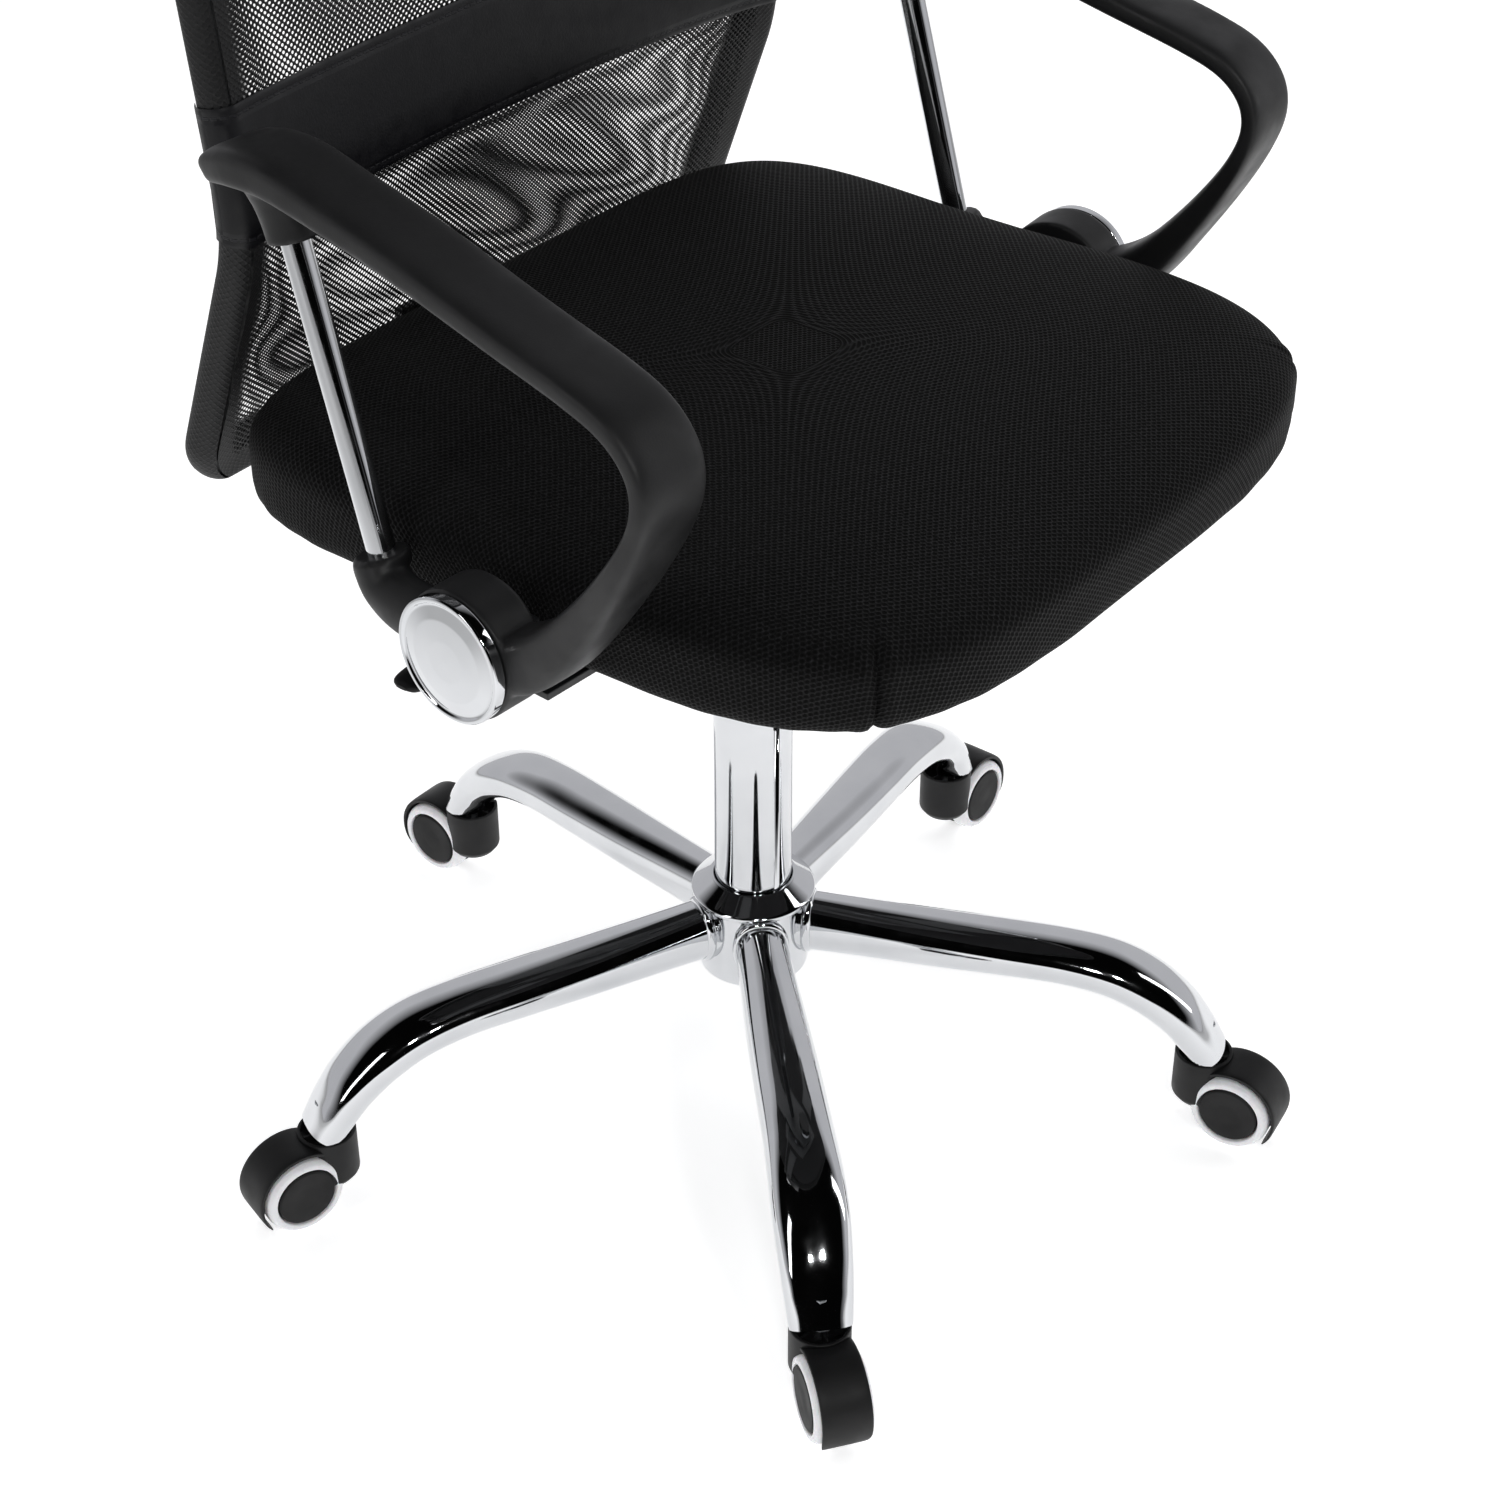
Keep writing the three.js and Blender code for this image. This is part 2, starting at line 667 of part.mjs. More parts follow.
class Helix extends THREE.Curve {
  getPoint(t, target = v3()) {
    const angle = t * SPRING_TURNS * 2 * Math.PI;
    const z = lerp(-SPRING_LENGTH + SPRING_WIRE, -SPRING_WIRE, t);
    return target.set(SPRING_RADIUS * Math.cos(angle), SPRING_RADIUS * Math.sin(angle), z);
  }
}

function tiltSpring() {
  const section = new THREE.Shape().absarc(0, 0, SPRING_WIRE, 0, 2 * Math.PI);
  const made = new THREE.ExtrudeGeometry(section, {
    extrudePath: new Helix(),
    steps: SPRING_TURNS * 8,
    curveSegments: 3,
  });
  return made.translate(0, BOLT_Y, HOUSING_BOTTOM - FIT);
}

function tensionKnob() {
  const top = HOUSING_BOTTOM - SPRING_LENGTH - FIT * 2;
  const outline = new THREE.Shape();
  const points = KNOB_LOBES * 6;
  for (let i = 0; i < points; i++) {
    const angle = (i / points) * 2 * Math.PI;
    const radius = KNOB_RADIUS - KNOB_FLUTE * (1 - Math.cos(angle * KNOB_LOBES)) / 2;
    const [x, y] = [radius * Math.cos(angle), radius * Math.sin(angle)];
    if (i === 0) outline.moveTo(x, y);
    else outline.lineTo(x, y);
  }
  const grip = new THREE.ExtrudeGeometry(outline, {
    depth: KNOB_HEIGHT,
    bevelEnabled: false,
  });
  grip.translate(0, BOLT_Y, top - KNOB_HEIGHT);
  const bolt = disc(BOLT_RADIUS, top - 5, PLATE_BOTTOM + PLATE - FIT, SMALL_ROUND);
  return join(grip, bolt.translate(0, BOLT_Y, 0));
}

function addMechanism() {
  add(chair, "tilt_housing", blackSteel, tiltHousing());
  add(chair, "seat_plate", blackSteel, seatPlate());
  add(chair, "tilt_pivot_pin", zincSteel, pivotPin());
  add(chair, "tilt_spring", zincSteel, tiltSpring());
  add(chair, "tension_knob", blackPlastic, tensionKnob());
}

// ---------- height lever ----------

// The lever's own frame has its pin at the origin and runs out along +X.
function addLever() {
  const lever = group(chair, LEVER_PIN_X, LEVER_Y, HOUSING_BOTTOM + LEVER_RISE);
  lever.rotation.set(0, Math.PI + radians(LEVER_SLOPE), 0);
  const across = (geometry) => geometry.rotateX(Math.PI / 2);
  add(lever, "lever_pin", zincSteel, across(disc(LEVER_PIN_RADIUS, -11, 11, SMALL_ROUND)));
  const eye = across(disc(LEVER_EYE, -LEVER_RADIUS, LEVER_RADIUS, SMALL_ROUND));
  const rod = disc(LEVER_RADIUS, 2, LEVER_REACH, SMALL_ROUND).rotateY(Math.PI / 2);
  const eyeBore = across(disc(LEVER_PIN_RADIUS + RUN, -10, 10, SMALL_ROUND));
  add(lever, "height_lever", blackSteel, cut(join(eye, rod), eyeBore));

  const start = PADDLE_REACH - PADDLE_LENGTH;
  const stations = PADDLE.map(([width, depth], i) => {
    const at = v3(start + (PADDLE_LENGTH * i) / (PADDLE.length - 1), 0, 0);
    return { at, along: v3(1, 0, 0), width, depth };
  });
  const blade = sweep(stations, 12, v3(0, 1, 0), 2.6);
  const rodBore = disc(LEVER_RADIUS + FIT, start - 5, LEVER_REACH + FIT, SMALL_ROUND);
  add(lever, "lever_paddle", blackPlastic, cut(blade, rodBore.rotateY(Math.PI / 2)));
}

// ---------- seat ----------

const panBottom = PLATE_BOTTOM + PLATE + FIT;

// The seat's outline shrunk by inset: a superellipse with its front and rear halves of
// different length and squareness.
function seatEdge(angle, inset) {
  const rear = Math.sin(angle) > 0;
  const [x, y] = superellipse(angle, rear ? SEAT_REAR_POWER : SEAT_FRONT_POWER);
  const length = rear ? SEAT_REAR - SEAT_MIDDLE : SEAT_MIDDLE - SEAT_FRONT;
  return v2(x * (SEAT_HALF - inset), SEAT_MIDDLE + y * (length - inset));
}

function panSlab(inset, low, high) {
  const points = 36;
  const outline = new THREE.Shape(
    Array.from({ length: points }, (_, i) => seatEdge((i / points) * 2 * Math.PI, inset)),
  );
  const slab = new THREE.ExtrudeGeometry(outline, { depth: high - low, bevelEnabled: false });
  return slab.translate(0, 0, low);
}

function seatPan() {
  return panSlab(PAN_INSET, panBottom, panBottom + PAN_THICK);
}

// The cover is drawn round the pan's edge, so that the cushion hides it from the side.
function seatCushion() {
  const rows = 9;
  const low = panBottom + HEM_RISE;
  const cushion = skin(rows, 36, (row, angle) => {
    const tilt = lerp(-84, 78, row / (rows - 1));
    const power = tilt < 0 ? UNDER_POWER : CUSHION_POWER;
    const [out, up] = superellipse(radians(tilt), power);
    const edge = seatEdge(angle, 0);
    const middle = v2(0, SEAT_MIDDLE);
    const point = middle.lerp(edge, out);
    return v3(point.x, point.y, low + (CUSHION_THICK * (1 + up)) / 2);
  });
  return cut(cushion, panSlab(PAN_INSET - FIT, low - HEM_RISE * 2, panBottom + PAN_THICK + FIT));
}

function addSeat() {
  add(chair, "seat_pan", dustCover, seatPan());
  add(chair, "seat_cushion", seatFabric, seatCushion());
}

// ---------- back ----------

const lowerLength = BACK_FOOT.distanceTo(BACK_KINK);
const upperLength = BACK_KINK.distanceTo(BACK_HEAD);
const backLength = lowerLength + upperLength;

// Side view of the frame by length along it: y, z and the direction, with the kink rounded.
function backLine(length) {
  const lower = BACK_KINK.clone().sub(BACK_FOOT).normalize();
  const upper = BACK_HEAD.clone().sub(BACK_KINK).normalize();
  const half = KINK_ROUND / 2;
  const past = length - lowerLength;
  const share = THREE.MathUtils.clamp((past + half) / KINK_ROUND, 0, 1);
  const along = lower.clone().lerp(upper, share).normalize();
  const onUpper = (share * share * KINK_ROUND) / 2 + Math.max(0, past - half);
  const at = BACK_FOOT.clone().addScaledVector(lower, length - onUpper);
  at.addScaledVector(upper, onUpper);
  return { at, along };
}

// A point of the back: across, along its length, and out from its middle towards the rear.
function backPoint(x, length, out) {
  const { at, along } = backLine(length);
  return v3(x, at.x + out * along.y, at.y - out * along.x);
}

// Stations round the frame on the unrolled back, from the foot rail up one side and down the
// other: the centre line's x and length, and the direction out of the frame.
function frameStations() {
  const side = [];
  const corner = (bend, length, start) => {
    const steps = 5;
    for (let i = 0; i <= steps; i++) {
      const angle = radians(start + (90 * i) / steps);
      const out = v2(Math.cos(angle), Math.sin(angle));
      side.push({ at: v2(BACK_HALF - bend, length).addScaledVector(out, bend), out });
    }
  };
  corner(BACK_FOOT_BEND, BACK_FOOT_BEND, -90);
  for (const share of [-1, -0.5, 0, 0.5, 1]) {
    const length = lowerLength + (share * KINK_ROUND) / 2;
    side.push({ at: v2(BACK_HALF, length), out: v2(1, 0) });
  }
  corner(BACK_HEAD_BEND, backLength - BACK_HEAD_BEND, 0);
  const other = side.map(({ at, out }) => ({ at: v2(-at.x, at.y), out: v2(-out.x, out.y) }));
  return [...side, ...other.reverse()];
}

function backFrame() {
  const stations = frameStations();
  const [around, along] = [8, stations.length];
  const made = new THREE.TorusGeometry(1, 0.1, around, along);
  const at = made.getAttribute("position");
  for (let i = 0; i < at.count; i++) {
    const station = stations[(i % (along + 1)) % along];
    const angle = (Math.floor(i / (along + 1)) / around) * 2 * Math.PI;
    const spot = station.at.clone().addScaledVector(station.out, BACK_TUBE * Math.cos(angle));
    const point = backPoint(spot.x, spot.y, BACK_TUBE * Math.sin(angle));
    at.setXYZ(i, point.x, point.y, point.z);
  }
  return outward(made);
}

// Half width of the opening inside the frame, at a length along the back.
function openingHalf(length) {
  const air = BACK_TUBE + MESH_AIR;
  const bend = length < backLength / 2 ? BACK_FOOT_BEND : BACK_HEAD_BEND;
  const past = bend - Math.min(length, backLength - length);
  if (past <= 0) return BACK_HALF - air;
  return BACK_HALF - bend + Math.sqrt((bend - air) ** 2 - past ** 2);
}

// A panel in the frame: its span along the back and its span front to rear.
function backPanel(low, high, front, rear, steps) {
  const made = new THREE.BoxGeometry(2, 1, 2, 2, steps, 1);
  const at = made.getAttribute("position");
  for (let i = 0; i < at.count; i++) {
    const length = lerp(low, high, at.getY(i) + 0.5);
    const out = at.getZ(i) > 0 ? front : rear;
    const spot = backPoint(at.getX(i) * openingHalf(length), length, out);
    at.setXYZ(i, spot.x, spot.y, spot.z);
  }
  return outward(made);
}

function backBracket() {
  const top = panBottom - FIT;
  const rear = BACK_FOOT.x + BACK_TUBE + FIT;
  const { x: railY, y: railZ } = BACK_FOOT;
  const bend = BRACKET_BEND;
  const outline = new THREE.Shape();
  outline.moveTo(BRACKET_FRONT, top);
  outline.lineTo(BRACKET_FRONT, top - BRACKET_THICK);
  outline.lineTo(rear - bend, top - BRACKET_THICK);
  outline.absarc(rear - bend, top + bend, bend + BRACKET_THICK, -Math.PI / 2, 0, false);
  outline.lineTo(rear + BRACKET_THICK, railZ + BRACKET_RISE);
  outline.lineTo(rear, railZ + BRACKET_RISE);
  outline.lineTo(rear, top + bend);
  outline.absarc(rear - bend, top + bend, bend, 0, -Math.PI / 2, true);
  const plate = new THREE.ExtrudeGeometry(outline, {
    depth: BRACKET_HALF * 2,
    bevelEnabled: false,
    curveSegments: 5,
  });
  // The outline's Y and Z become the plate's, and its thickness runs across the chair.
  plate.rotateY(Math.PI / 2).rotateX(Math.PI / 2).translate(-BRACKET_HALF, 0, 0);
  const rail = disc(BACK_TUBE + FIT, -BRACKET_HALF * 2, BRACKET_HALF * 2);
  return cut(plate, rail.rotateY(Math.PI / 2).translate(0, railY, railZ));
}

function addBack() {
  const [foot, head] = [BACK_TUBE + MESH_HEM, backLength - BACK_TUBE - MESH_HEM];
  const face = -MESH_HALF_THICK - FIT;
  const lumbarTop = LUMBAR_BOTTOM + LUMBAR_HEIGHT;
  const padTop = HEAD_PAD_BOTTOM + HEAD_PAD_HEIGHT;
  add(chair, "back_bracket", blackSteel, backBracket());
  add(chair, "back_frame", blackSteel, backFrame());
  const mesh = backPanel(foot, head, -MESH_HALF_THICK, MESH_HALF_THICK, 16);
  add(chair, "back_mesh", meshFabric, mesh);
  const strip = backPanel(LUMBAR_BOTTOM, lumbarTop, face - STRIP_THICK, face, 6);
  add(chair, "lumbar_strip", blackLeather, strip);
  const pad = backPanel(HEAD_PAD_BOTTOM, padTop, face - HEAD_PAD_THICK, face, 4);
  add(chair, "head_pad", blackLeather, pad);
}

// ---------- armrests ----------

// The loop in its own plane: y, z, then the band's width and thickness, and how far its
// middle stands outboard.
const LOOP = [
  [134, 707, 22, 8, 0],
  [129, 714, 36, 18, 0],
  [112, 721, 43, 23, 0],
  [88, 722, 45, 23, 0],
  [45, 715, PAD_WIDTH, 20, 0],
  [0, 706, PAD_WIDTH, 18, 0],
  [-70, 688, PAD_WIDTH, 16, 0],
  [-125, 674, PAD_WIDTH, 15, 0],
  [-150, 663, PAD_WIDTH, 14, 0],
  [-164, 648, PAD_WIDTH, 13, 0],
  [-167, 632, PAD_WIDTH, 12, 0],
  [-160, 611, PAD_WIDTH, 13, 0],
  [-145, 584, 45, 17, 1],
  [-122, 550, 41, 23, 2],
  [-98, 521, 35, 29, 5],
  [-72, 503, 28, 34, 7],
  [-50, 498, 26, 36, 7],
];

const restAlong = REST_HEAD.clone().sub(REST_FOOT).normalize();
const onRest = (point, step) => point.clone().addScaledVector(restAlong, step);

function loopStations(side, rows) {
  const points = rows.map(([y, z, , , out]) => v3(side * out, y, z));
  return rows.map(([, , width, depth], i) => {
    const before = points[Math.max(0, i - 1)];
    const after = points[Math.min(points.length - 1, i + 1)];
    return { at: points[i], along: after.clone().sub(before).normalize(), width, depth };
  });
}

// A round bar between two points of the loop's plane.
function bar(from, to, radiusFrom, radiusTo) {
  const length = from.distanceTo(to);
  const made = turned([[0, 0], [radiusFrom, 0], [radiusTo, length], [0, length]], SMALL_ROUND);
  const lean = Math.atan2(to.x - from.x, to.y - from.y);
  return made.rotateX(-lean).translate(0, from.x, from.y);
}

function hubDisc(radius, inner, outer, side) {
  const [low, high] = side > 0 ? [inner, outer] : [-outer, -inner];
  return disc(radius, low, high).rotateY(Math.PI / 2).translate(0, HUB_Y, HUB_Z);
}

// The band's lower end, turned up from the hub to the foot of the chrome tube.
function elbow(side) {
  const mouth = onRest(REST_FOOT, -2);
  const turn = onRest(REST_FOOT, -16);
  const rows = [
    [mouth.x, mouth.y, 2 * SOCKET_RADIUS, 2 * SOCKET_RADIUS, 2],
    [turn.x, turn.y, 29, 30, 3],
    [turn.x - 10, turn.y - 10, 29, 33, 5],
    [turn.x - 30, turn.y - 13, 28, 38, 7],
    [HUB_Y + 15, HUB_Z - 1, 27, 42, 7],
  ];
  return sweep(loopStations(side, rows), 12, v3(1, 0, 0), 2.2);
}

function armrest(side) {
  const band = sweep(loopStations(side, LOOP), 12, v3(1, 0, 0), 2.7);
  const hub = hubDisc(HUB_DISC, HUB_INNER, HUB_OUTER, side);
  const collar = bar(onRest(REST_FOOT, -6), onRest(REST_FOOT, 1), SOCKET_RADIUS, SOCKET_RADIUS);
  const socket = bar(REST_HEAD, onRest(REST_HEAD, 34), SOCKET_RADIUS - 0.4, 19);
  const sunk = REST_SUNK + FIT;
  const bore = REST_TUBE + FIT;
  const footBore = bar(onRest(REST_FOOT, -sunk), onRest(REST_FOOT, sunk), bore, bore);
  const headBore = bar(onRest(REST_HEAD, -sunk), onRest(REST_HEAD, sunk), bore, bore);
  return cut(join(band, hub, elbow(side), collar, socket), footBore, headBore);
}

// The cap's profile starts on its axis at the hub and is turned about the hub's axis.
function hubCap(side) {
  const back = HUB_OUTER + FIT;
  const face = back + CAP_THICK;
  const profile = [
    [0, back],
    [CAP_RADIUS, back],
    [CAP_RADIUS, face - 1.8],
    [CAP_RADIUS - CAP_RIM, face - 1.2],
    [CAP_RADIUS - CAP_RIM - 1, face - 2],
    [CAP_RADIUS / 2, face - 0.6],
    [0, face],
  ];
  const made = turned(profile).rotateY((side * Math.PI) / 2);
  return made.translate(0, HUB_Y, HUB_Z);
}

// Steel stay: a flat bar under the seat that turns up beside it to the hub.
function stay(side) {
  const outer = HUB_INNER - FIT;
  const inner = outer - STAY_THICK;
  const top = panBottom - FIT;
  const low = top - STAY_THICK;
  const across = (x0, x1) => (side > 0 ? [x0, x1] : [-x1, -x0]);
  const [y0, y1] = [HUB_Y - STAY_WIDTH / 2, HUB_Y + STAY_WIDTH / 2];
  const flat = block(...across(outer - STAY_LENGTH, outer), y0, y1, low, top);
  const upright = block(
    ...across(inner, outer),
    y0 + STAY_INSET,
    y1 - STAY_INSET,
    low,
    low + STAY_RISE,
  );
  return join(flat, upright);
}

function addArmrest(side, name) {
  const toe = -side * radians(LOOP_TOE);
  const plane = group(chair, side * LOOP_X, LOOP_Y, 0, -toe);
  const inPlane = group(plane, 0, -LOOP_Y, 0);
  const [foot, head] = [onRest(REST_FOOT, -REST_SUNK), onRest(REST_HEAD, REST_SUNK)];
  add(inPlane, `armrest_${name}`, armPlastic, armrest(side));
  add(inPlane, `armrest_tube_${name}`, chrome, bar(foot, head, REST_TUBE, REST_TUBE));
  add(inPlane, `armrest_cap_${name}`, chrome, hubCap(side));
  add(inPlane, `armrest_stay_${name}`, blackSteel, stay(side));
}

// ---------- the chair ----------

for (let number = 0; number < CASTERS; number++) addCaster(number);
addBase();
addMechanism();
addLever();
addSeat();
addBack();
addArmrest(1, "left");
addArmrest(-1, "right");

export default chair;
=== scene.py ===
"""Looks of a swivel office chair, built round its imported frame.

Every shape is worked out in millimetres as whole numpy arrays: a grid of points from two
parameters, or a profile carried along a path. build() puts grids into a mesh, in metres.
"""

import math

import bpy
import numpy as np
from mathutils import Matrix, Vector


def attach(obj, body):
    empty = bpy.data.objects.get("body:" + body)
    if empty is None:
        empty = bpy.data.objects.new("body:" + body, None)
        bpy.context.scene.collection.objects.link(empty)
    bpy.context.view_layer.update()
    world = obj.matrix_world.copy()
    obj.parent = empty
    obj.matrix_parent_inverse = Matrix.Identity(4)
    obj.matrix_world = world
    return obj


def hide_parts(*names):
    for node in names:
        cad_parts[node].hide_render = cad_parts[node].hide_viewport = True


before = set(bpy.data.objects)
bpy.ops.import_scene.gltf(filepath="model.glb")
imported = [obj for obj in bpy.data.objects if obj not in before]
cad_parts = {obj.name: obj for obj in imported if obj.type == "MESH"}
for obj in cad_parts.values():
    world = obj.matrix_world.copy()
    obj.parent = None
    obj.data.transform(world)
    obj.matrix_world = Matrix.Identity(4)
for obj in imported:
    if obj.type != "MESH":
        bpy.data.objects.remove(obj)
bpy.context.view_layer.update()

TURN = 2 * math.pi

# ---------- sizes, in millimetres ----------

CASTERS = 5
CASTER_CIRCLE = 300
BASE_TURN = -134.7  # degrees
HEADINGS = (-126, -81, 0, 90, 163)  # way each caster trails, degrees
TRAIL = 26
WHEEL_RADIUS = 27
DISC_RADIUS = 20
WHEEL_FACE = 18.4
COVER_LIFT = 1.6  # mesh cover outside the back's tube
LOOP_X = 264.6
LOOP_Y = 60
LOOP_TOE = 3.35  # degrees
HUB_Y = -37
HUB_Z = 497

# ---------- meshes ----------


def wrapped(values, closed):
    """The values with the first one again at the end, if they close on themselves."""
    return np.concatenate([values, values[:1]]) if closed else values


def skin(points, flat=None, around=True, along=False, capped=True):
    """Faces of a grid of points. Rows run along the piece and columns round it.

    around closes the columns on each other, along closes the rows, and capped closes the
    first and last rows on their middles. flat holds the cloth coordinates in metres of
    every point, with one column and row more where the grid closes.
    """
    rows, columns = points.shape[:2]
    index = np.arange(rows * columns).reshape(rows, columns)
    ringed = wrapped(wrapped(index, along).T, around).T
    quads = np.stack(
        [ringed[:-1, :-1], ringed[:-1, 1:], ringed[1:, 1:], ringed[1:, :-1]], axis=-1
    ).reshape(-1, 4)
    spots = points.reshape(-1, 3)
    if flat is None:
        steps = np.linalg.norm(np.diff(wrapped(points, along), axis=0), axis=-1).mean(axis=1)
        down = np.concatenate([[0], np.cumsum(steps)])
        size = np.linalg.norm(np.ptp(points, axis=(0, 1)))
        share = np.linspace(0, 1, ringed.shape[1])
        flat = np.stack(np.meshgrid(share * size * 1.5, down), axis=-1) * 0.001
    cells = np.arange(ringed.size).reshape(ringed.shape)
    corners = np.stack(
        [cells[:-1, :-1], cells[:-1, 1:], cells[1:, 1:], cells[1:, :-1]], axis=-1
    ).reshape(-1)
    quad_flat = flat.reshape(-1, 2)[corners]
    caps = np.zeros((0, 3), int)
    cap_flat = np.zeros((0, 2))
    if around and capped and not along:
        middles = [points[0].mean(axis=0), points[-1].mean(axis=0)]
        count = len(spots)
        spots = np.concatenate([spots, middles])
        first, last = ringed[0], ringed[-1]
        low = np.stack([np.full(columns, count), first[1:], first[:-1]], axis=-1)
        high = np.stack([np.full(columns, count + 1), last[:-1], last[1:]], axis=-1)
        caps = np.concatenate([low, high])
        cap_flat = spots[caps.reshape(-1)][:, :2] * 0.001
    if around and (capped or along):
        fans = np.concatenate([quads[:, [0, 1, 2]], quads[:, [0, 2, 3]], caps])
        a, b, c = (spots[fans[:, i]] for i in range(3))
        if np.einsum("ij,ij->", a, np.cross(b, c)) < 0:
            quads, caps = quads[:, ::-1], caps[:, ::-1]
            quad_flat = quad_flat.reshape(-1, 4, 2)[:, ::-1].reshape(-1, 2)
            cap_flat = cap_flat.reshape(-1, 3, 2)[:, ::-1].reshape(-1, 2)
    return spots, quads, quad_flat, caps, cap_flat


def mesh_of(name, parts, sharp=40):
    """One mesh from several skins, in metres. Edges sharper than `sharp` degrees stay crisp."""
    starts = np.cumsum([0] + [len(part[0]) for part in parts])
    spots = np.concatenate([part[0] for part in parts]) * 0.001
    quads = np.concatenate([part[1] + start for part, start in zip(parts, starts)])
    caps = np.concatenate([part[3] + start for part, start in zip(parts, starts)])
    flat = np.concatenate([part[2] for part in parts] + [part[4] for part in parts])
    loops = np.concatenate([quads.ravel(), caps.ravel()])
    first = np.concatenate(
        [np.arange(len(quads)) * 4, len(quads) * 4 + np.arange(len(caps)) * 3]
    )
    mesh = bpy.data.meshes.new(name)
    mesh.vertices.add(len(spots))
    mesh.vertices.foreach_set("co", spots.astype(np.float32).ravel())
    mesh.loops.add(len(loops))
    mesh.loops.foreach_set("vertex_index", loops.astype(np.int32))
    mesh.polygons.add(len(first))
    mesh.polygons.foreach_set("loop_start", first.astype(np.int32))
    layer = mesh.uv_layers.new(name="flat")
    layer.data.foreach_set("uv", flat.astype(np.float32).ravel())
    mesh.update(calc_edges=True)
    mesh.shade_smooth()
    mesh.set_sharp_from_angle(angle=math.radians(sharp))
    return mesh


def finished(name, mesh, material, body, replaces=()):
    """Puts a mesh in the scene as a piece that rides on a body."""
    piece = bpy.data.objects.new(name, mesh)
    bpy.context.scene.collection.objects.link(piece)
    mesh.materials.clear()
    mesh.materials.append(material)
    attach(piece, body)
    if replaces:
        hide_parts(*replaces)
    return piece


def build(name, parts, material, body, replaces=(), sharp=40):
    """A finished piece from skins."""
    return finished(name, mesh_of(name, parts, sharp), material, body, replaces)


def fused(name, parts, voxel, rounds, material, body, replaces=()):
    """A piece cast in one: the skins are merged by a voxel remesh and their joins smoothed."""
    draft = bpy.data.objects.new(name + "_draft", mesh_of(name + "_draft", parts))
    bpy.context.scene.collection.objects.link(draft)
    remesh = draft.modifiers.new("merge", "REMESH")
    remesh.mode = "VOXEL"
    remesh.voxel_size = voxel * 0.001
    smooth = draft.modifiers.new("blend", "SMOOTH")
    smooth.factor = 0.5
    smooth.iterations = rounds
    evaluated = draft.evaluated_get(bpy.context.evaluated_depsgraph_get())
    mesh = bpy.data.meshes.new_from_object(evaluated)
    mesh.name = name
    bpy.data.objects.remove(draft)
    mesh.shade_smooth()
    return finished(name, mesh, material, body, replaces)


# ---------- shapes ----------


def spline(rows, count):
    """A smooth path through rows of numbers: a Catmull-Rom curve sampled at count even steps."""
    rows = np.asarray(rows, float)
    padded = np.concatenate([2 * rows[:1] - rows[1:2], rows, 2 * rows[-1:] - rows[-2:-1]])
    place = np.linspace(0, len(rows) - 1, count)
    start = np.minimum(place.astype(int), len(rows) - 2)
    t = (place - start)[:, None]
    a, b, c, d = (padded[start + i] for i in range(4))
    bend = (2 * a - 5 * b + 4 * c - d) * t**2 + (3 * b - a - 3 * c + d) * t**3
    return b + ((c - a) * t + bend) / 2


def oval(count, power=2.0):
    """Across and up of a superellipse: cosine and sine raised to 2 / power, signs kept."""
    angle = np.arange(count) * TURN / count
    curve = np.stack([np.cos(angle), np.sin(angle)], axis=-1)
    return np.sign(curve) * np.abs(curve) ** (2 / power)


def directions(path):
    """Unit direction of a path at each of its points, from its neighbours."""
    step = np.gradient(path, axis=0)
    return step / np.linalg.norm(step, axis=1, keepdims=True)


def sweep(path, width, depth, across, count=40, power=2.0):
    """A superellipse section carried along a path: `across` is its width's direction."""
    ahead = directions(path)
    across = np.broadcast_to(np.asarray(across, float), path.shape)
    up = np.cross(ahead, across)
    up /= np.linalg.norm(up, axis=1, keepdims=True)
    section = oval(count, power)
    width = np.broadcast_to(width, len(path))[:, None, None] / 2
    depth = np.broadcast_to(depth, len(path))[:, None, None] / 2
    sideways = across[:, None] * section[None, :, :1] * width
    return path[:, None] + sideways + up[:, None] * section[None, :, 1:] * depth


def rounded(profile, radius, steps=5):
    """A polyline whose inner corners are rounded by a parabola from radius before each to
    radius after it, or a third of a shorter side."""
    points = np.asarray(profile, float)
    made = [points[:1]]
    share = np.linspace(0, 1, steps)[:, None]
    for before, corner, after in zip(points, points[1:], points[2:]):
        start, end = before - corner, after - corner
        start *= min(radius / np.linalg.norm(start), 0.34)
        end *= min(radius / np.linalg.norm(end), 0.34)
        made.append(corner + start * (1 - share) ** 2 + end * share**2)
    return np.concatenate(made + [points[-1:]])


def turned(profile, count=64, spin=0.0):
    """A profile of radius and height turned about Z."""
    profile = np.asarray(profile, float)
    angle = np.arange(count) * TURN / count + spin
    radius, height = profile[:, :1], profile[:, 1:]
    plan = [radius * np.cos(angle), radius * np.sin(angle), height + 0 * angle]
    return np.stack(plan, axis=-1)


def axes(points, x, y, z, origin=(0, 0, 0)):
    """Points given on three axes, put into the chair's frame."""
    return points @ np.array([x, y, z], float) + np.asarray(origin, float)


def turned_about_z(points, angle, origin=(0, 0, 0)):
    """Points turned by an angle about Z and moved to an origin."""
    c, s = math.cos(angle), math.sin(angle)
    return axes(points, (c, s, 0), (-s, c, 0), (0, 0, 1), origin)


def bar(start, end, radii, count=48):
    """A round bar of changing radius between two points."""
    start, end = np.asarray(start, float), np.asarray(end, float)
    path = start + (end - start) * np.linspace(0, 1, len(radii))[:, None]
    side = (1, 0, 0) if abs((end - start)[0]) < np.linalg.norm(end - start) / 2 else (0, 1, 0)
    return sweep(path, 2 * np.asarray(radii), 2 * np.asarray(radii), side, count)


# ---------- materials ----------


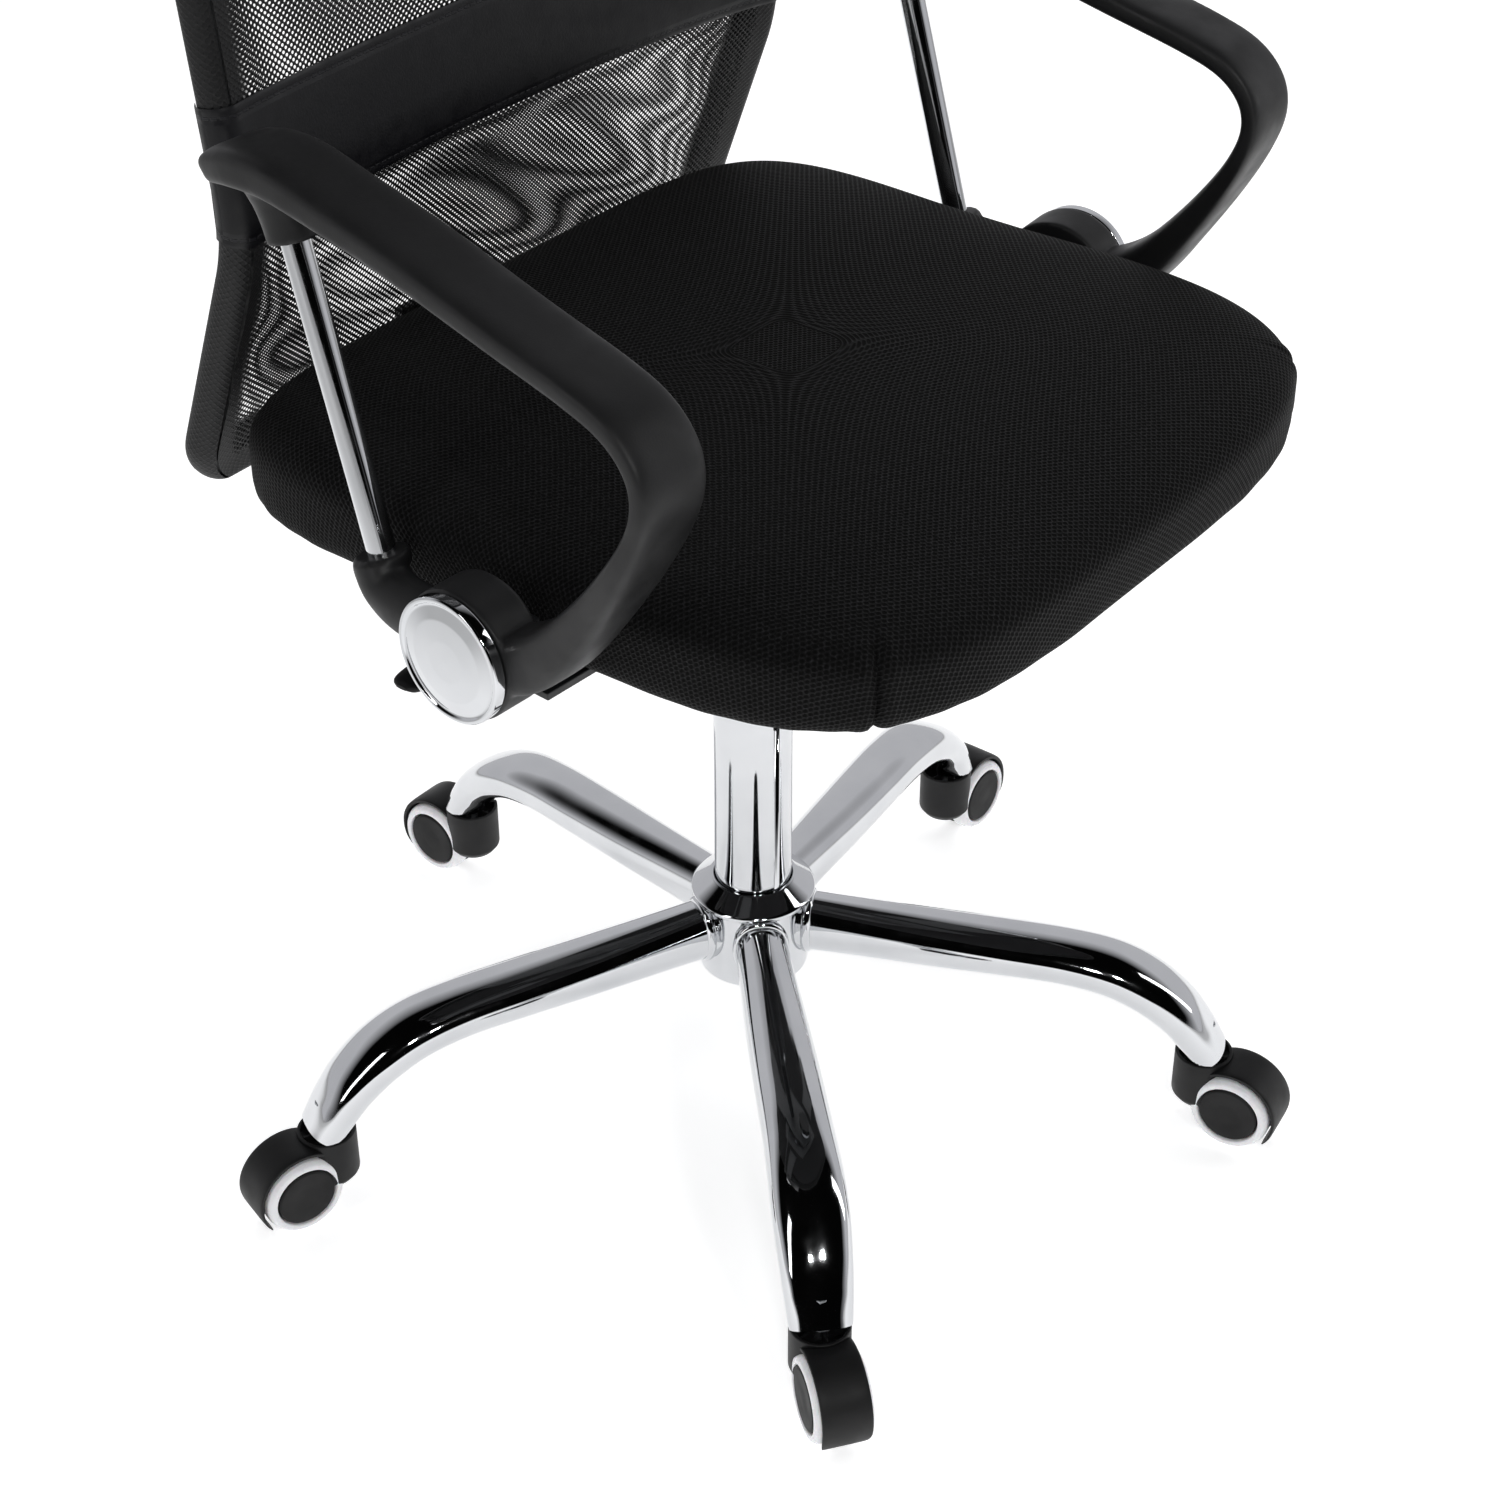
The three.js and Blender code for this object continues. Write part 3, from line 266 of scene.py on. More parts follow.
def linear(code):
    """An sRGB hex colour as the linear colour that a shader takes."""
    channels = np.array([int(code[i : i + 2], 16) for i in (1, 3, 5)]) / 255
    curve = np.where(channels <= 0.04045, channels / 12.92, ((channels + 0.055) / 1.055) ** 2.4)
    return (*curve.tolist(), 1.0)


def add(tree, kind, **settings):
    """Adds a shader node. A setting names one of its properties, or an input by its name or
    by _ and its number, and holds a value or the output to link."""
    made = tree.nodes.new("ShaderNode" + kind)
    for name, value in settings.items():
        if name in made.bl_rna.properties:
            setattr(made, name, value)
            continue
        number = name[1:].isdigit()
        socket = made.inputs[int(name[1:]) if number else name.replace("_", " ")]
        if isinstance(value, bpy.types.NodeSocket):
            tree.links.new(value, socket)
        else:
            socket.default_value = value
    return made


def started(name, color, roughness, **constants):
    """A new material, its node tree and its shader, with constants on the shader's sockets."""
    made = bpy.data.materials.new(name)
    made.use_nodes = True
    shader = made.node_tree.nodes["Principled BSDF"]
    shader.inputs["Base Color"].default_value = linear(color)
    shader.inputs["Roughness"].default_value = roughness
    for key, value in constants.items():
        shader.inputs[key.replace("_", " ")].default_value = value
    return made, made.node_tree, shader


def per_mm(size):
    """Texture scale that gives features of a size in millimetres."""
    return 1000.0 / size


def noise(tree, size, detail=3.0, stretch=(1, 1, 1)):
    """Noise of a feature size in millimetres, on the piece's own coordinates in metres."""
    where = add(tree, "TexCoord").outputs["Object"]
    scaled = add(tree, "Mapping", Vector=where, Scale=stretch).outputs["Vector"]
    made = add(tree, "TexNoise", Vector=scaled, Scale=per_mm(size), Detail=detail)
    return made.outputs["Fac"]


def ranged(tree, value, low, high, start=0.35, end=0.65):
    """A value between start and end taken to low and high."""
    settings = {"From_Min": start, "From_Max": end, "To_Min": low, "To_Max": high}
    return add(tree, "MapRange", Value=value, **settings).outputs["Result"]


def mixed(tree, share, first, second):
    """Two colours mixed by a share."""
    sockets = {"_0": share, "_6": linear(first), "_7": linear(second)}
    return add(tree, "Mix", data_type="RGBA", **sockets).outputs[2]


def relief(tree, shader, height, millimetres, strength=1.0):
    """Bump of a height in millimetres."""
    bump = add(tree, "Bump", Height=height, Strength=strength, Distance=millimetres * 0.001)
    tree.links.new(bump.outputs["Normal"], shader.inputs["Normal"])


def chrome_plate():
    """Polished steel under decorative chrome: a mirror with faint polishing ripple and a
    breath of smearing, so highlights are crisp but not computer-perfect."""
    made, tree, shader = started("chrome_plated_steel", "#d9dbde", 0.05, Metallic=1.0)
    smear = noise(tree, 45)
    tree.links.new(mixed(tree, smear, "#c6c8cb", "#dadbdd"), shader.inputs["Base Color"])
    tree.links.new(ranged(tree, noise(tree, 18), 0.03, 0.085), shader.inputs["Roughness"])
    relief(tree, shader, noise(tree, 16, 1.0), 0.02, 0.6)
    return made


def powder_coat():
    """Baked black powder on steel: satin, with the orange-peel texture of melted powder."""
    made, tree, shader = started("black_powder_coat", "#17181a", 0.45)
    tree.links.new(mixed(tree, noise(tree, 30), "#131416", "#1c1d1f"), shader.inputs["Base Color"])
    tree.links.new(ranged(tree, noise(tree, 9), 0.38, 0.52), shader.inputs["Roughness"])
    relief(tree, shader, noise(tree, 1.6, 2.0), 0.05, 0.8)
    return made


def zinc_plate():
    """Bright zinc on turned steel: grey metal with fine drawn lines and dull patches."""
    made, tree, shader = started("zinc_plated_steel", "#a9adb2", 0.34, Metallic=1.0)
    tree.links.new(mixed(tree, noise(tree, 7), "#96999d", "#bcbfc3"), shader.inputs["Base Color"])
    tree.links.new(ranged(tree, noise(tree, 5), 0.26, 0.44), shader.inputs["Roughness"])
    relief(tree, shader, noise(tree, 1.2, 2.0, (1, 1, 0.1)), 0.02, 0.6)
    return made


def moulded(name, dark, light, grain, depth, gloss):
    """Injection-moulded plastic from a spark-eroded mould: a fine even grain that breaks up
    the highlight, with slow changes of gloss where the melt cooled unevenly."""
    made, tree, shader = started(name, light, gloss, Specular_IOR_Level=0.35)
    tree.links.new(mixed(tree, noise(tree, 40), dark, light), shader.inputs["Base Color"])
    rough = ranged(tree, noise(tree, 22), gloss - 0.06, gloss + 0.07)
    tree.links.new(rough, shader.inputs["Roughness"])
    relief(tree, shader, noise(tree, grain, 2.0), depth, 0.8)
    return made


def polyurethane():
    """Glossy off-white cast polyurethane: smooth, a little translucent at its edge, with
    faint clouding from the casting and grey scuffs where it rolls."""
    constants = {"Subsurface_Weight": 0.08, "Subsurface_Scale": 0.004}
    made, tree, shader = started("cast_polyurethane", "#f4f4f7", 0.25, **constants)
    tree.links.new(mixed(tree, noise(tree, 14), "#eeeef2", "#fafafc"), shader.inputs["Base Color"])
    tree.links.new(ranged(tree, noise(tree, 6), 0.2, 0.36), shader.inputs["Roughness"])
    relief(tree, shader, noise(tree, 3.0, 2.0), 0.03, 0.5)
    return made


def lattice(tree, across, along):
    """Distance from the nearest point of a staggered lattice, in spacings across. It is the
    smaller of the distances to two rectangular lattices half a cell apart, in the cloth's
    own flat coordinates, with both spacings in millimetres."""
    cloth = add(tree, "UVMap", uv_map="flat").outputs[0]
    cells = (per_mm(across), per_mm(along), 0)
    placed = add(tree, "VectorMath", operation="MULTIPLY", _0=cloth, _1=cells).outputs[0]
    found = []
    for shift in (0.0, 0.5):
        offset = (shift, shift, 0)
        moved = add(tree, "VectorMath", operation="ADD", _0=placed, _1=offset).outputs[0]
        part = add(tree, "VectorMath", operation="FRACTION", _0=moved).outputs[0]
        middle = (0.5, 0.5, 0)
        away = add(tree, "VectorMath", operation="SUBTRACT", _0=part, _1=middle).outputs[0]
        even = (1, along / across, 0)
        true = add(tree, "VectorMath", operation="MULTIPLY", _0=away, _1=even).outputs[0]
        found.append(add(tree, "VectorMath", operation="LENGTH", _0=true).outputs["Value"])
    return add(tree, "Math", operation="MINIMUM", _0=found[0], _1=found[1]).outputs[0]


def spacer_mesh():
    """Black polyester spacer mesh: rows of small pits between knitted ribs. Its colour carries painted
    highlights: noisy specks on the ribs are painted lighter as glints of light, while the pits stay the
    darkest colour.
    The pits are 4.6 mm apart across and 3.4 mm along, in staggered rows, a little coarser than the usual 3
    mm cloth so that they show."""
    constants = {"Sheen_Weight": 0.015, "Sheen_Roughness": 0.5, "Specular_IOR_Level": 0.18}
    made, tree, shader = started("spacer_mesh_cloth", "#0b0b0c", 0.8, **constants)
    pit = lattice(tree, 4.6, 3.4)
    rib = ranged(tree, pit, 0.0, 1.0, 0.16, 0.34)
    painted_glint_specks = ranged(tree, noise(tree, 1.4), 0.0, 1.0, 0.45, 0.7)
    # painted highlight: noisy specks on the ribs are painted lighter, up to #1f1f21, as glints of light;
    # the pits and the rest stay #020202
    loops = add(tree, "Math", operation="MULTIPLY", _0=rib, _1=painted_glint_specks).outputs[0]
    tree.links.new(mixed(tree, loops, "#020202", "#1f1f21"), shader.inputs["Base Color"])
    tree.links.new(ranged(tree, rib, 0.95, 0.62, 0.0, 1.0), shader.inputs["Roughness"])
    relief(tree, shader, rib, 0.7, 1.0)
    return made


def open_mesh():
    """Black warp-knit mesh: a net of flat monofilament with oval holes between, 4.4 mm apart
    across and 4 mm along, in staggered rows. Light comes through the holes of both layers.
    Round the frame the cover is doubled, so its hem is closed."""
    made, tree, shader = started("warp_knit_net", "#0e0e0f", 0.6, Specular_IOR_Level=0.4)
    hole = lattice(tree, 4.4, 4.0)
    thread = ranged(tree, hole, 0.0, 1.0, 0.19, 0.26)
    fibre = ranged(tree, noise(tree, 1.1), 0.0, 1.0, 0.4, 0.65)
    tree.links.new(mixed(tree, fibre, "#060607", "#151516"), shader.inputs["Base Color"])
    hem = add(tree, "Attribute", attribute_name="hem").outputs["Fac"]
    closed = add(tree, "Math", operation="MAXIMUM", _0=thread, _1=hem).outputs[0]
    tree.links.new(closed, shader.inputs["Alpha"])
    relief(tree, shader, ranged(tree, hole, 0.0, 1.0, 0.25, 0.5), 0.4, 1.0)
    return made


def coated_leather(name, seams=()):
    """Black polyurethane-coated leather: a fine pebble grain with a soft blue-black sheen.
    seams are distances along the cloth, in millimetres, of rows of 4 mm stitches."""
    made, tree, shader = started(name, "#0b0b0e", 0.42, Specular_IOR_Level=0.3)
    color = mixed(tree, noise(tree, 35), "#08080b", "#101014")
    grain = noise(tree, 1.5, 4.0)
    height = grain
    if seams:
        cloth = add(tree, "UVMap", uv_map="flat").outputs[0]
        parts = add(tree, "SeparateXYZ", Vector=cloth)
        dash = add(tree, "Math", operation="MULTIPLY", _0=parts.outputs[0], _1=per_mm(5.2))
        dash = add(tree, "Math", operation="FRACT", _0=dash.outputs[0]).outputs[0]
        sewn = ranged(tree, dash, 0.0, 1.0, 0.26, 0.32)
        for seam in seams:
            place = {"_0": parts.outputs[1], "_1": seam * 0.001}
            off = add(tree, "Math", operation="SUBTRACT", **place).outputs[0]
            off = add(tree, "Math", operation="ABSOLUTE", _0=off).outputs[0]
            line = ranged(tree, off, 1.0, 0.0, 0.0006, 0.0009)
            groove = ranged(tree, off, 1.0, 0.0, 0.0, 0.0035)
            thread = add(tree, "Math", operation="MULTIPLY", _0=line, _1=sewn).outputs[0]
            mix = {"_0": thread, "_6": color, "_7": linear("#17171b")}
            color = add(tree, "Mix", data_type="RGBA", **mix).outputs[2]
            sunk = add(tree, "Math", operation="MULTIPLY", _0=groove, _1=4.0).outputs[0]
            height = add(tree, "Math", operation="SUBTRACT", _0=height, _1=sunk).outputs[0]
            proud = add(tree, "Math", operation="MULTIPLY", _0=thread, _1=3.0).outputs[0]
            height = add(tree, "Math", operation="ADD", _0=height, _1=proud).outputs[0]
    tree.links.new(color, shader.inputs["Base Color"])
    tree.links.new(ranged(tree, noise(tree, 12), 0.36, 0.5), shader.inputs["Roughness"])
    relief(tree, shader, height, 0.12, 0.8)
    return made


def dust_cloth():
    """Thin black spun-bonded cloth stapled under the pan: dull, with a felted grain."""
    made, tree, shader = started("spun_bonded_dust_cloth", "#111112", 0.9, Specular_IOR_Level=0.2)
    fibre = noise(tree, 2.2, 5.0, (1, 0.5, 1))
    tree.links.new(mixed(tree, fibre, "#0b0b0c", "#19191a"), shader.inputs["Base Color"])
    tree.links.new(ranged(tree, fibre, 0.82, 0.96), shader.inputs["Roughness"])
    relief(tree, shader, fibre, 0.15, 0.7)
    return made


CHROME = chrome_plate()
BLACK_STEEL = powder_coat()
ZINC = zinc_plate()
NYLON = moulded("moulded_black_nylon", "#0a0a0b", "#111112", 0.9, 0.06, 0.52)
DISC_NYLON = moulded("moulded_disc_nylon", "#050506", "#0a0a0b", 1.2, 0.05, 0.6)
ARM_PLASTIC = moulded("grained_arm_plastic", "#141415", "#1b1b1c", 1.0, 0.05, 0.46)
TYRE = polyurethane()
SEAT_CLOTH = spacer_mesh()
NET = open_mesh()
STRIP_LEATHER = coated_leather("coated_leather_strip", (178, 244))
PAD_LEATHER = coated_leather("coated_leather_pad", (517, 643))
DUST_CLOTH = dust_cloth()

# ---------- casters ----------


def caster_place(number):
    """A caster's origin and heading: its stem on the caster circle, and the way it trails."""
    turn = math.radians(BASE_TURN + number * 360 / CASTERS)
    origin = (CASTER_CIRCLE * math.cos(turn), CASTER_CIRCLE * math.sin(turn), 0)
    return origin, math.radians(HEADINGS[number])


def hood_parts():
    """A caster hood: an arch carried round the wheels, a web between them, and a hollow cup.
    The arch's section is a rounded slab; it tapers to a thin tail behind."""
    angle = np.radians(np.linspace(-36, 128, 60))
    middle = WHEEL_RADIUS + 3.0
    along = np.stack([TRAIL + middle * np.cos(angle), 0 * angle, WHEEL_RADIUS + middle * np.sin(angle)], -1)
    share = np.linspace(0, 1, 60)
    wide = 31 - 3 * (1 - np.minimum(1, share * 6)) ** 2
    thick = 3.6 * np.minimum(1, 0.35 + share * 2.2)
    arch = sweep(along, wide, thick, (0, 1, 0), 40, 5)
    disc = rounded([(0.01, -3), (28, -3), (28, 3), (0.01, 3)], 0.8)
    web = axes(turned(disc, 72), (1, 0, 0), (0, 0, 1), (0, -1, 0), (TRAIL, 0, WHEEL_RADIUS + 1.5))
    wall = rounded(
        [(0.01, 22), (15, 22), (18.8, 27), (18.8, 59.6), (16.4, 59.6), (16.4, 52), (0.01, 52)], 1.0
    )
    rib = sweep(np.array([[6, 0, 55.0], [16.6, 0, 56.5]]), 1.6, 7, (0, 1, 0), 16, 6)
    ribs = [turned_about_z(rib, math.radians(60 * k)) for k in range(6)]
    return [skin(arch), skin(web), skin(turned(wall)), *[skin(rib) for rib in ribs]]


def wheel_parts(side):
    """A tyre and its disc about the axle, on one side: rounded profiles turned about it."""
    bore = DISC_RADIUS + 0.05
    corners = [(bore, 5.4), (WHEEL_RADIUS, 5.4), (WHEEL_RADIUS, 14.5), (24.6, 18.1)]
    tread = rounded(corners + [(20.6, WHEEL_FACE), (bore, 5.4)], 3.0, 9)
    face = rounded(
        [(0.01, 4.2), (19.8, 6), (19.8, 17.2), (18.6, 18.3), (8, 18.0), (0.01, 18.2)], 0.8
    )
    axle = (1, 0, 0), (0, 0, -side), (0, side, 0), (TRAIL, 0, WHEEL_RADIUS)
    tyre = axes(turned(tread[:-1], 72), *axle)
    return skin(tyre, along=True), skin(axes(turned(face, 72), *axle))


def moved(part, angle, origin):
    """A skin turned about Z and moved."""
    return (turned_about_z(part[0], angle, origin), *part[1:])


for number in range(CASTERS):
    origin, heading = caster_place(number)
    label = number + 1
    hood = [moved(part, heading, origin) for part in hood_parts()]
    hood_name = f"caster_hood_{label}"
    build(f"hood_{label}", hood, NYLON, f"caster_{label}", [hood_name], 35)
    for side, word in ((1, "left"), (-1, "right")):
        tread, disc = (moved(part, heading, origin) for part in wheel_parts(side))
        body = f"wheels_{label}"
        build(f"tread_{word}_{label}", [tread], TYRE, body, [f"tyre_{word}_{label}"])
        core = [f"wheel_core_{word}_{label}"]
        build(f"disc_{word}_{label}", [disc], DISC_NYLON, body, core, 30)

# ---------- base and column ----------


def arm_path():
    """Centre line, width and depth of a base arm: straight out from the hub, then down an
    ellipse to the caster. It is widest at the shoulder."""
    stations = [
        (27, 130.5, 33, 40),
        (70, 129.2, 36, 37),
        (117, 127.6, 40, 34.5),
        (165, 126.4, 42.5, 31.5),
        (205, 124.6, 43.5, 30),
        (236, 119.2, 45.5, 30),
        (260, 108.2, 46.5, 29.5),
        (279, 93, 44.5, 28.5),
        (292, 77, 42, 26.5),
        (303, 60, 38.5, 24),
    ]
    return spline(stations, 90)


def base_arm(turn):
    """One arm: a flattened tube along its path, cut level at its mouth."""
    rows = arm_path()
    path = np.stack([rows[:, 0], 0 * rows[:, 0], rows[:, 1]], axis=-1)
    points = sweep(path, rows[:, 2], rows[:, 3], (0, 1, 0), 56, 2.35)
    points[..., 2] = np.maximum(points[..., 2], 61.8)
    return turned_about_z(points, turn)


def root_collar(turn):
    """The pressed lip round an arm where it enters the hub: a short sleeve with rounded ends."""
    share = np.linspace(0, 1, 9)
    path = np.stack([34 + 6.5 * share, 0 * share, 130.5 + 0 * share], axis=-1)
    swell = 3.4 * np.sqrt(np.clip(1 - (2 * share - 1) ** 2, 0, 1))
    return turned_about_z(sweep(path, 33.4 + swell, 40.4 + swell, (0, 1, 0), 56, 2.3), turn)


def star_base():
    """Hub and arms. The hub is a slightly flared skirt turned about the column."""
    skirt = rounded([(25.4, 97), (36, 97), (35, 115), (33.4, 151), (25.4, 151), (25.4, 97)], 1.2)
    turns = [math.radians(BASE_TURN + k * 360 / CASTERS) for k in range(CASTERS)]
    parts = [skin(turned(skirt[:-1], 96), along=True)]
    parts += [skin(base_arm(turn)) for turn in turns]
    return parts + [skin(root_collar(turn)) for turn in turns]


build("star_base", star_base(), CHROME, "base", ["five_star_base"], 50)

cover_under = [(25.4, 151.4), (34, 151.4), (39.6, 152.2), (40.5, 155.4), (39.4, 156.6)]
cover_over = [(28.6, 164.6), (27.5, 165.4), (25.6, 165.4), (25.4, 151.4)]
cover = skin(turned(rounded(cover_under + cover_over, 0.9)[:-1], 96), along=True)
build("cover_ring", [cover], CHROME, "base", ["hub_cover_ring"], 40)

CLIP_HOLE_TURN = -106  # degrees
CLIP_HOLE_HEIGHT = 292


def drilled_sleeve():
    """The column's wall and floor turned about Z, with the clip hole cut through its side."""
    inside = [(23.2, 97), (23.2, 302), (25, 302)]
    wall = rounded(inside + [(25, 94), (5.4, 94), (5.4, 97), (23.2, 97)], 0.6)
    sleeve = mesh_of("tube_draft", [skin(turned(wall[:-1], 96), along=True)])
    tube = bpy.data.objects.new("tube_draft", sleeve)
    side = math.radians(CLIP_HOLE_TURN)
    out = np.array([math.cos(side), math.sin(side), 0])
    level = (0, 0, CLIP_HOLE_HEIGHT)
    hole = bar(out * 18 + level, out * 30 + level, [2.6] * 4, 32)
    drill = bpy.data.objects.new("drill", mesh_of("drill", [skin(hole)]))
    for draft in (tube, drill):
        bpy.context.scene.collection.objects.link(draft)
    cutting = tube.modifiers.new("drilled", "BOOLEAN")
    cutting.operation = "DIFFERENCE"
    cutting.solver = "EXACT"
    cutting.object = drill
    evaluated = tube.evaluated_get(bpy.context.evaluated_depsgraph_get())
    drilled = bpy.data.meshes.new_from_object(evaluated)
    for draft in (tube, drill):
        bpy.data.objects.remove(draft)
    return drilled


finished("column_sleeve", drilled_sleeve(), CHROME, "base", ["column_tube"])

bush = rounded([(14.4, 262), (22.9, 262), (22.9, 301.4), (14.4, 301.4), (14.4, 262)], 0.8)
build("column_liner", [skin(turned(bush[:-1]), along=True)], NYLON, "base", ["column_bush"])
gas = rounded([(5.4, 205), (14, 205), (14, 452), (0.01, 452)], 0.8)
build("gas_spring", [skin(turned(gas))], BLACK_STEEL, "lift", ["gas_cylinder"])

# ---------- tilt mechanism and lever ----------

BOLT_Y = -80  # tension bolt, with the coil and the grip round it
COIL_RADIUS = 17

turns = np.linspace(0, 1, 260)
coil_angle = turns * TURN * 4
coil_x = COIL_RADIUS * np.cos(coil_angle)
coil_y = BOLT_Y + COIL_RADIUS * np.sin(coil_angle)
coil = np.stack([coil_x, coil_y, 399.7 + 24 * turns], -1)
coil_side = np.stack([np.cos(coil_angle), np.sin(coil_angle), 0 * turns], -1)
build("tilt_coil", [skin(sweep(coil, 4, 4, coil_side, 14))], ZINC, "lift", ["tilt_spring"])


def knob_shape():
    """A lobed grip: a rounded profile whose radius dips eight times round its side."""
    profile = rounded([(0.01, 373.4), (25, 373.4), (27, 376), (27, 394), (24, 397.4), (0.01, 397.4)], 2)
    points = turned(profile, 160)
    angle = np.arange(160) * TURN / 160
    dip = 1 - 0.06 * (1 - np.cos(8 * angle)) * (profile[:, :1] / 27) ** 4
    points[..., :2] *= dip[..., None]
    return points + (0, BOLT_Y, 0)


shank = bar((0, BOLT_Y, 390), (0, BOLT_Y, 474), [5] * 6, 32)
grip = [skin(knob_shape()), skin(shank)]
build("tension_grip", grip, NYLON, "knob", ["tension_knob"], 50)

lever_out = np.array([-math.cos(math.radians(1.5)), 0, math.sin(math.radians(1.5))])
lever_pin = np.array([-31, 22, 440.0])
rod = bar(lever_pin + lever_out * 2, lever_pin + lever_out * 194, [4] * 12, 24)
eye = axes(
    turned(rounded([(3.4, -4), (7, -4), (7, 4), (3.4, 4), (3.4, -4)], 0.6)[:-1], 40),
    (1, 0, 0), (0, 0, 1), (0, -1, 0), lever_pin,
)
lever_parts = [skin(rod), skin(eye, along=True)]
build("lever_rod", lever_parts, BLACK_STEEL, "lever", ["height_lever"])
blade_root = [(179, 12, 12), (187, 15, 11), (197, 20, 8.5)]  # distance out, width, depth
blade_tip = [(213, 23, 7), (231, 23, 6.6), (243, 18, 5.5), (247, 8, 2)]
blade_rows = spline(blade_root + blade_tip, 60)
blade_path = lever_pin + lever_out * blade_rows[:, :1]
blade = sweep(blade_path, blade_rows[:, 1], blade_rows[:, 2], (0, 1, 0), 40, 2.6)
build("lever_blade", [skin(blade)], NYLON, "lever", ["lever_paddle"])

# ---------- seat ----------

SEAT_HALF = 254
SEAT_FRONT = -272
SEAT_REAR = 206
SEAT_MIDDLE = -25
SEAT_LOW = 472
SEAT_THICK = 80
POCKET_INSET = 25.3  # recess that the plywood pan sits in
POCKET_TOP = 485.1
CORNER_FOLDS = (-0.27 * math.pi, -0.73 * math.pi)  # directions of the front corners' folds


def seat_plan(angle, inset):
    """The seat's outline, inset by a distance: a superellipse that is fuller at the rear,
    pulled in a little beside the armrests."""
    rear = np.sin(angle) > 0
    power = np.where(rear, 6.0, 4.0)
    x = np.sign(np.cos(angle)) * np.abs(np.cos(angle)) ** (2 / power)
    y = np.sign(np.sin(angle)) * np.abs(np.sin(angle)) ** (2 / power)
    length = np.where(rear, SEAT_REAR - SEAT_MIDDLE, SEAT_MIDDLE - SEAT_FRONT)
    pulled = SEAT_HALF - 4.5 * np.exp(-(((y * length - 33) / 75) ** 2))
    return np.stack([x * (pulled - inset), y * (length - inset)], axis=-1)


def seat_surface(rows=96, columns=480):
    """The cushion. Its edge in section is a superellipse, squarer below than above, so the
    top is crowned and the cover turns under square. Beneath, a recess holds the pan. The
    cover folds down each front corner and gathers in small ripples low on the side."""
    tilt = np.radians(np.linspace(-32, 89.4, rows))
    power = np.where(tilt < 0, 5, 4.0)
    out = np.cos(tilt) ** (2 / power)
    up = np.sign(tilt) * np.abs(np.sin(tilt)) ** (2 / power)
    height = SEAT_LOW + SEAT_THICK * (1 + up) / 2
    inset = np.zeros(rows)
    ceiling = np.linspace(0.01, 1, 12)
    inset = np.concatenate([0 * ceiling + POCKET_INSET, [POCKET_INSET], inset])
    out = np.concatenate([ceiling, [1], out])[:, None]
    up = np.concatenate([0 * ceiling - 1, [-1], up])[:, None]
    height = np.concatenate([0 * ceiling + POCKET_TOP, [height[0] - 0.6], height])[:, None]
    angle = (np.arange(columns) * TURN / columns)[None, :]
    plan = seat_plan(angle + 0 * inset[:, None], inset[:, None]) * out[..., None]
    roll = np.clip((-plan[..., 1] - 125) / 120, 0, 1) ** 2
    outer = (inset == 0)[:, None]
    z = height - 7 * roll * np.clip(up, 0, 1) * outer
    wall = np.exp(-(((up + 0.1) / 0.8) ** 6)) * outer
    way = plan / np.maximum(np.linalg.norm(plan, axis=-1, keepdims=True), 1e-6)
    for corner in CORNER_FOLDS:
        turn = (angle - corner + math.pi) % TURN - math.pi
        crease = np.exp(-((turn / 0.014) ** 2)) * 4.0
        tuck = np.exp(-(((np.abs(turn) - 0.05) / 0.035) ** 2)) * 1.8
        plan = plan - way * ((crease - tuck) * wall)[..., None]
    ripple = np.sin(angle * 37) * np.sin(angle * 11 + 1) * np.clip(-up, 0, 1) * wall
    plan = plan + way * (0.7 * ripple)[..., None]
    x, y = plan[..., 0], plan[..., 1] + SEAT_MIDDLE
    return np.stack([x, y, z + 0 * angle], axis=-1)[::-1]


def radial_flat(points):
    """Cloth coordinates of a cushion: each point's distance over the surface from the middle
    of the top, laid out in the direction in which it lies in plan."""
    steps = np.linalg.norm(np.diff(points, axis=0), axis=-1)
    reach = np.concatenate([0 * steps[:1], np.cumsum(steps, axis=0)])
    plan = points[..., :2] - points[0, :, :2].mean(axis=0)
    unit = plan / np.maximum(np.linalg.norm(plan, axis=-1, keepdims=True), 1e-6)
    flat = unit * reach[..., None] * 0.001
    return np.concatenate([flat, flat[:, :1]], axis=1)


seat = seat_surface()
cushion = build(
    "seat_pad", [skin(seat, radial_flat(seat))], SEAT_CLOTH, "seat", ["seat_cushion"], 70
)

# ---------- back ----------

BACK_HALF = 226.0
TUBE_R = 9.5
COVER_R = TUBE_R + COVER_LIFT
FOOT = np.array([227.0, 484.6])
KINK = np.array([166.0, 648.0])
HEAD = np.array([226.0, 1146.0])
FOOT_BEND = 26.0
HEAD_BEND = 70.0
KINK_SPREAD = 60.0
LOWER = np.linalg.norm(KINK - FOOT)
BACK_LENGTH = LOWER + np.linalg.norm(HEAD - KINK)


def back_point(x, length, out):
    """A point of the back from its place across, along and out to the rear. The side view is
    two straight lines joined by a bend spread evenly over a short length."""
    lower = (KINK - FOOT) / LOWER
    upper = (HEAD - KINK) / (BACK_LENGTH - LOWER)
    past = length - LOWER
    share = np.clip((past + KINK_SPREAD / 2) / KINK_SPREAD, 0, 1)
    on_upper = share**2 * KINK_SPREAD / 2 + np.maximum(0, past - KINK_SPREAD / 2)
    ahead = lower * (1 - share[..., None]) + upper * share[..., None]
    ahead /= np.linalg.norm(ahead, axis=-1, keepdims=True)
    at = FOOT + lower * (length - on_upper)[..., None] + upper * on_upper[..., None]
    return np.stack([x, at[..., 0] + out * ahead[..., 1], at[..., 1] - out * ahead[..., 0]], -1)


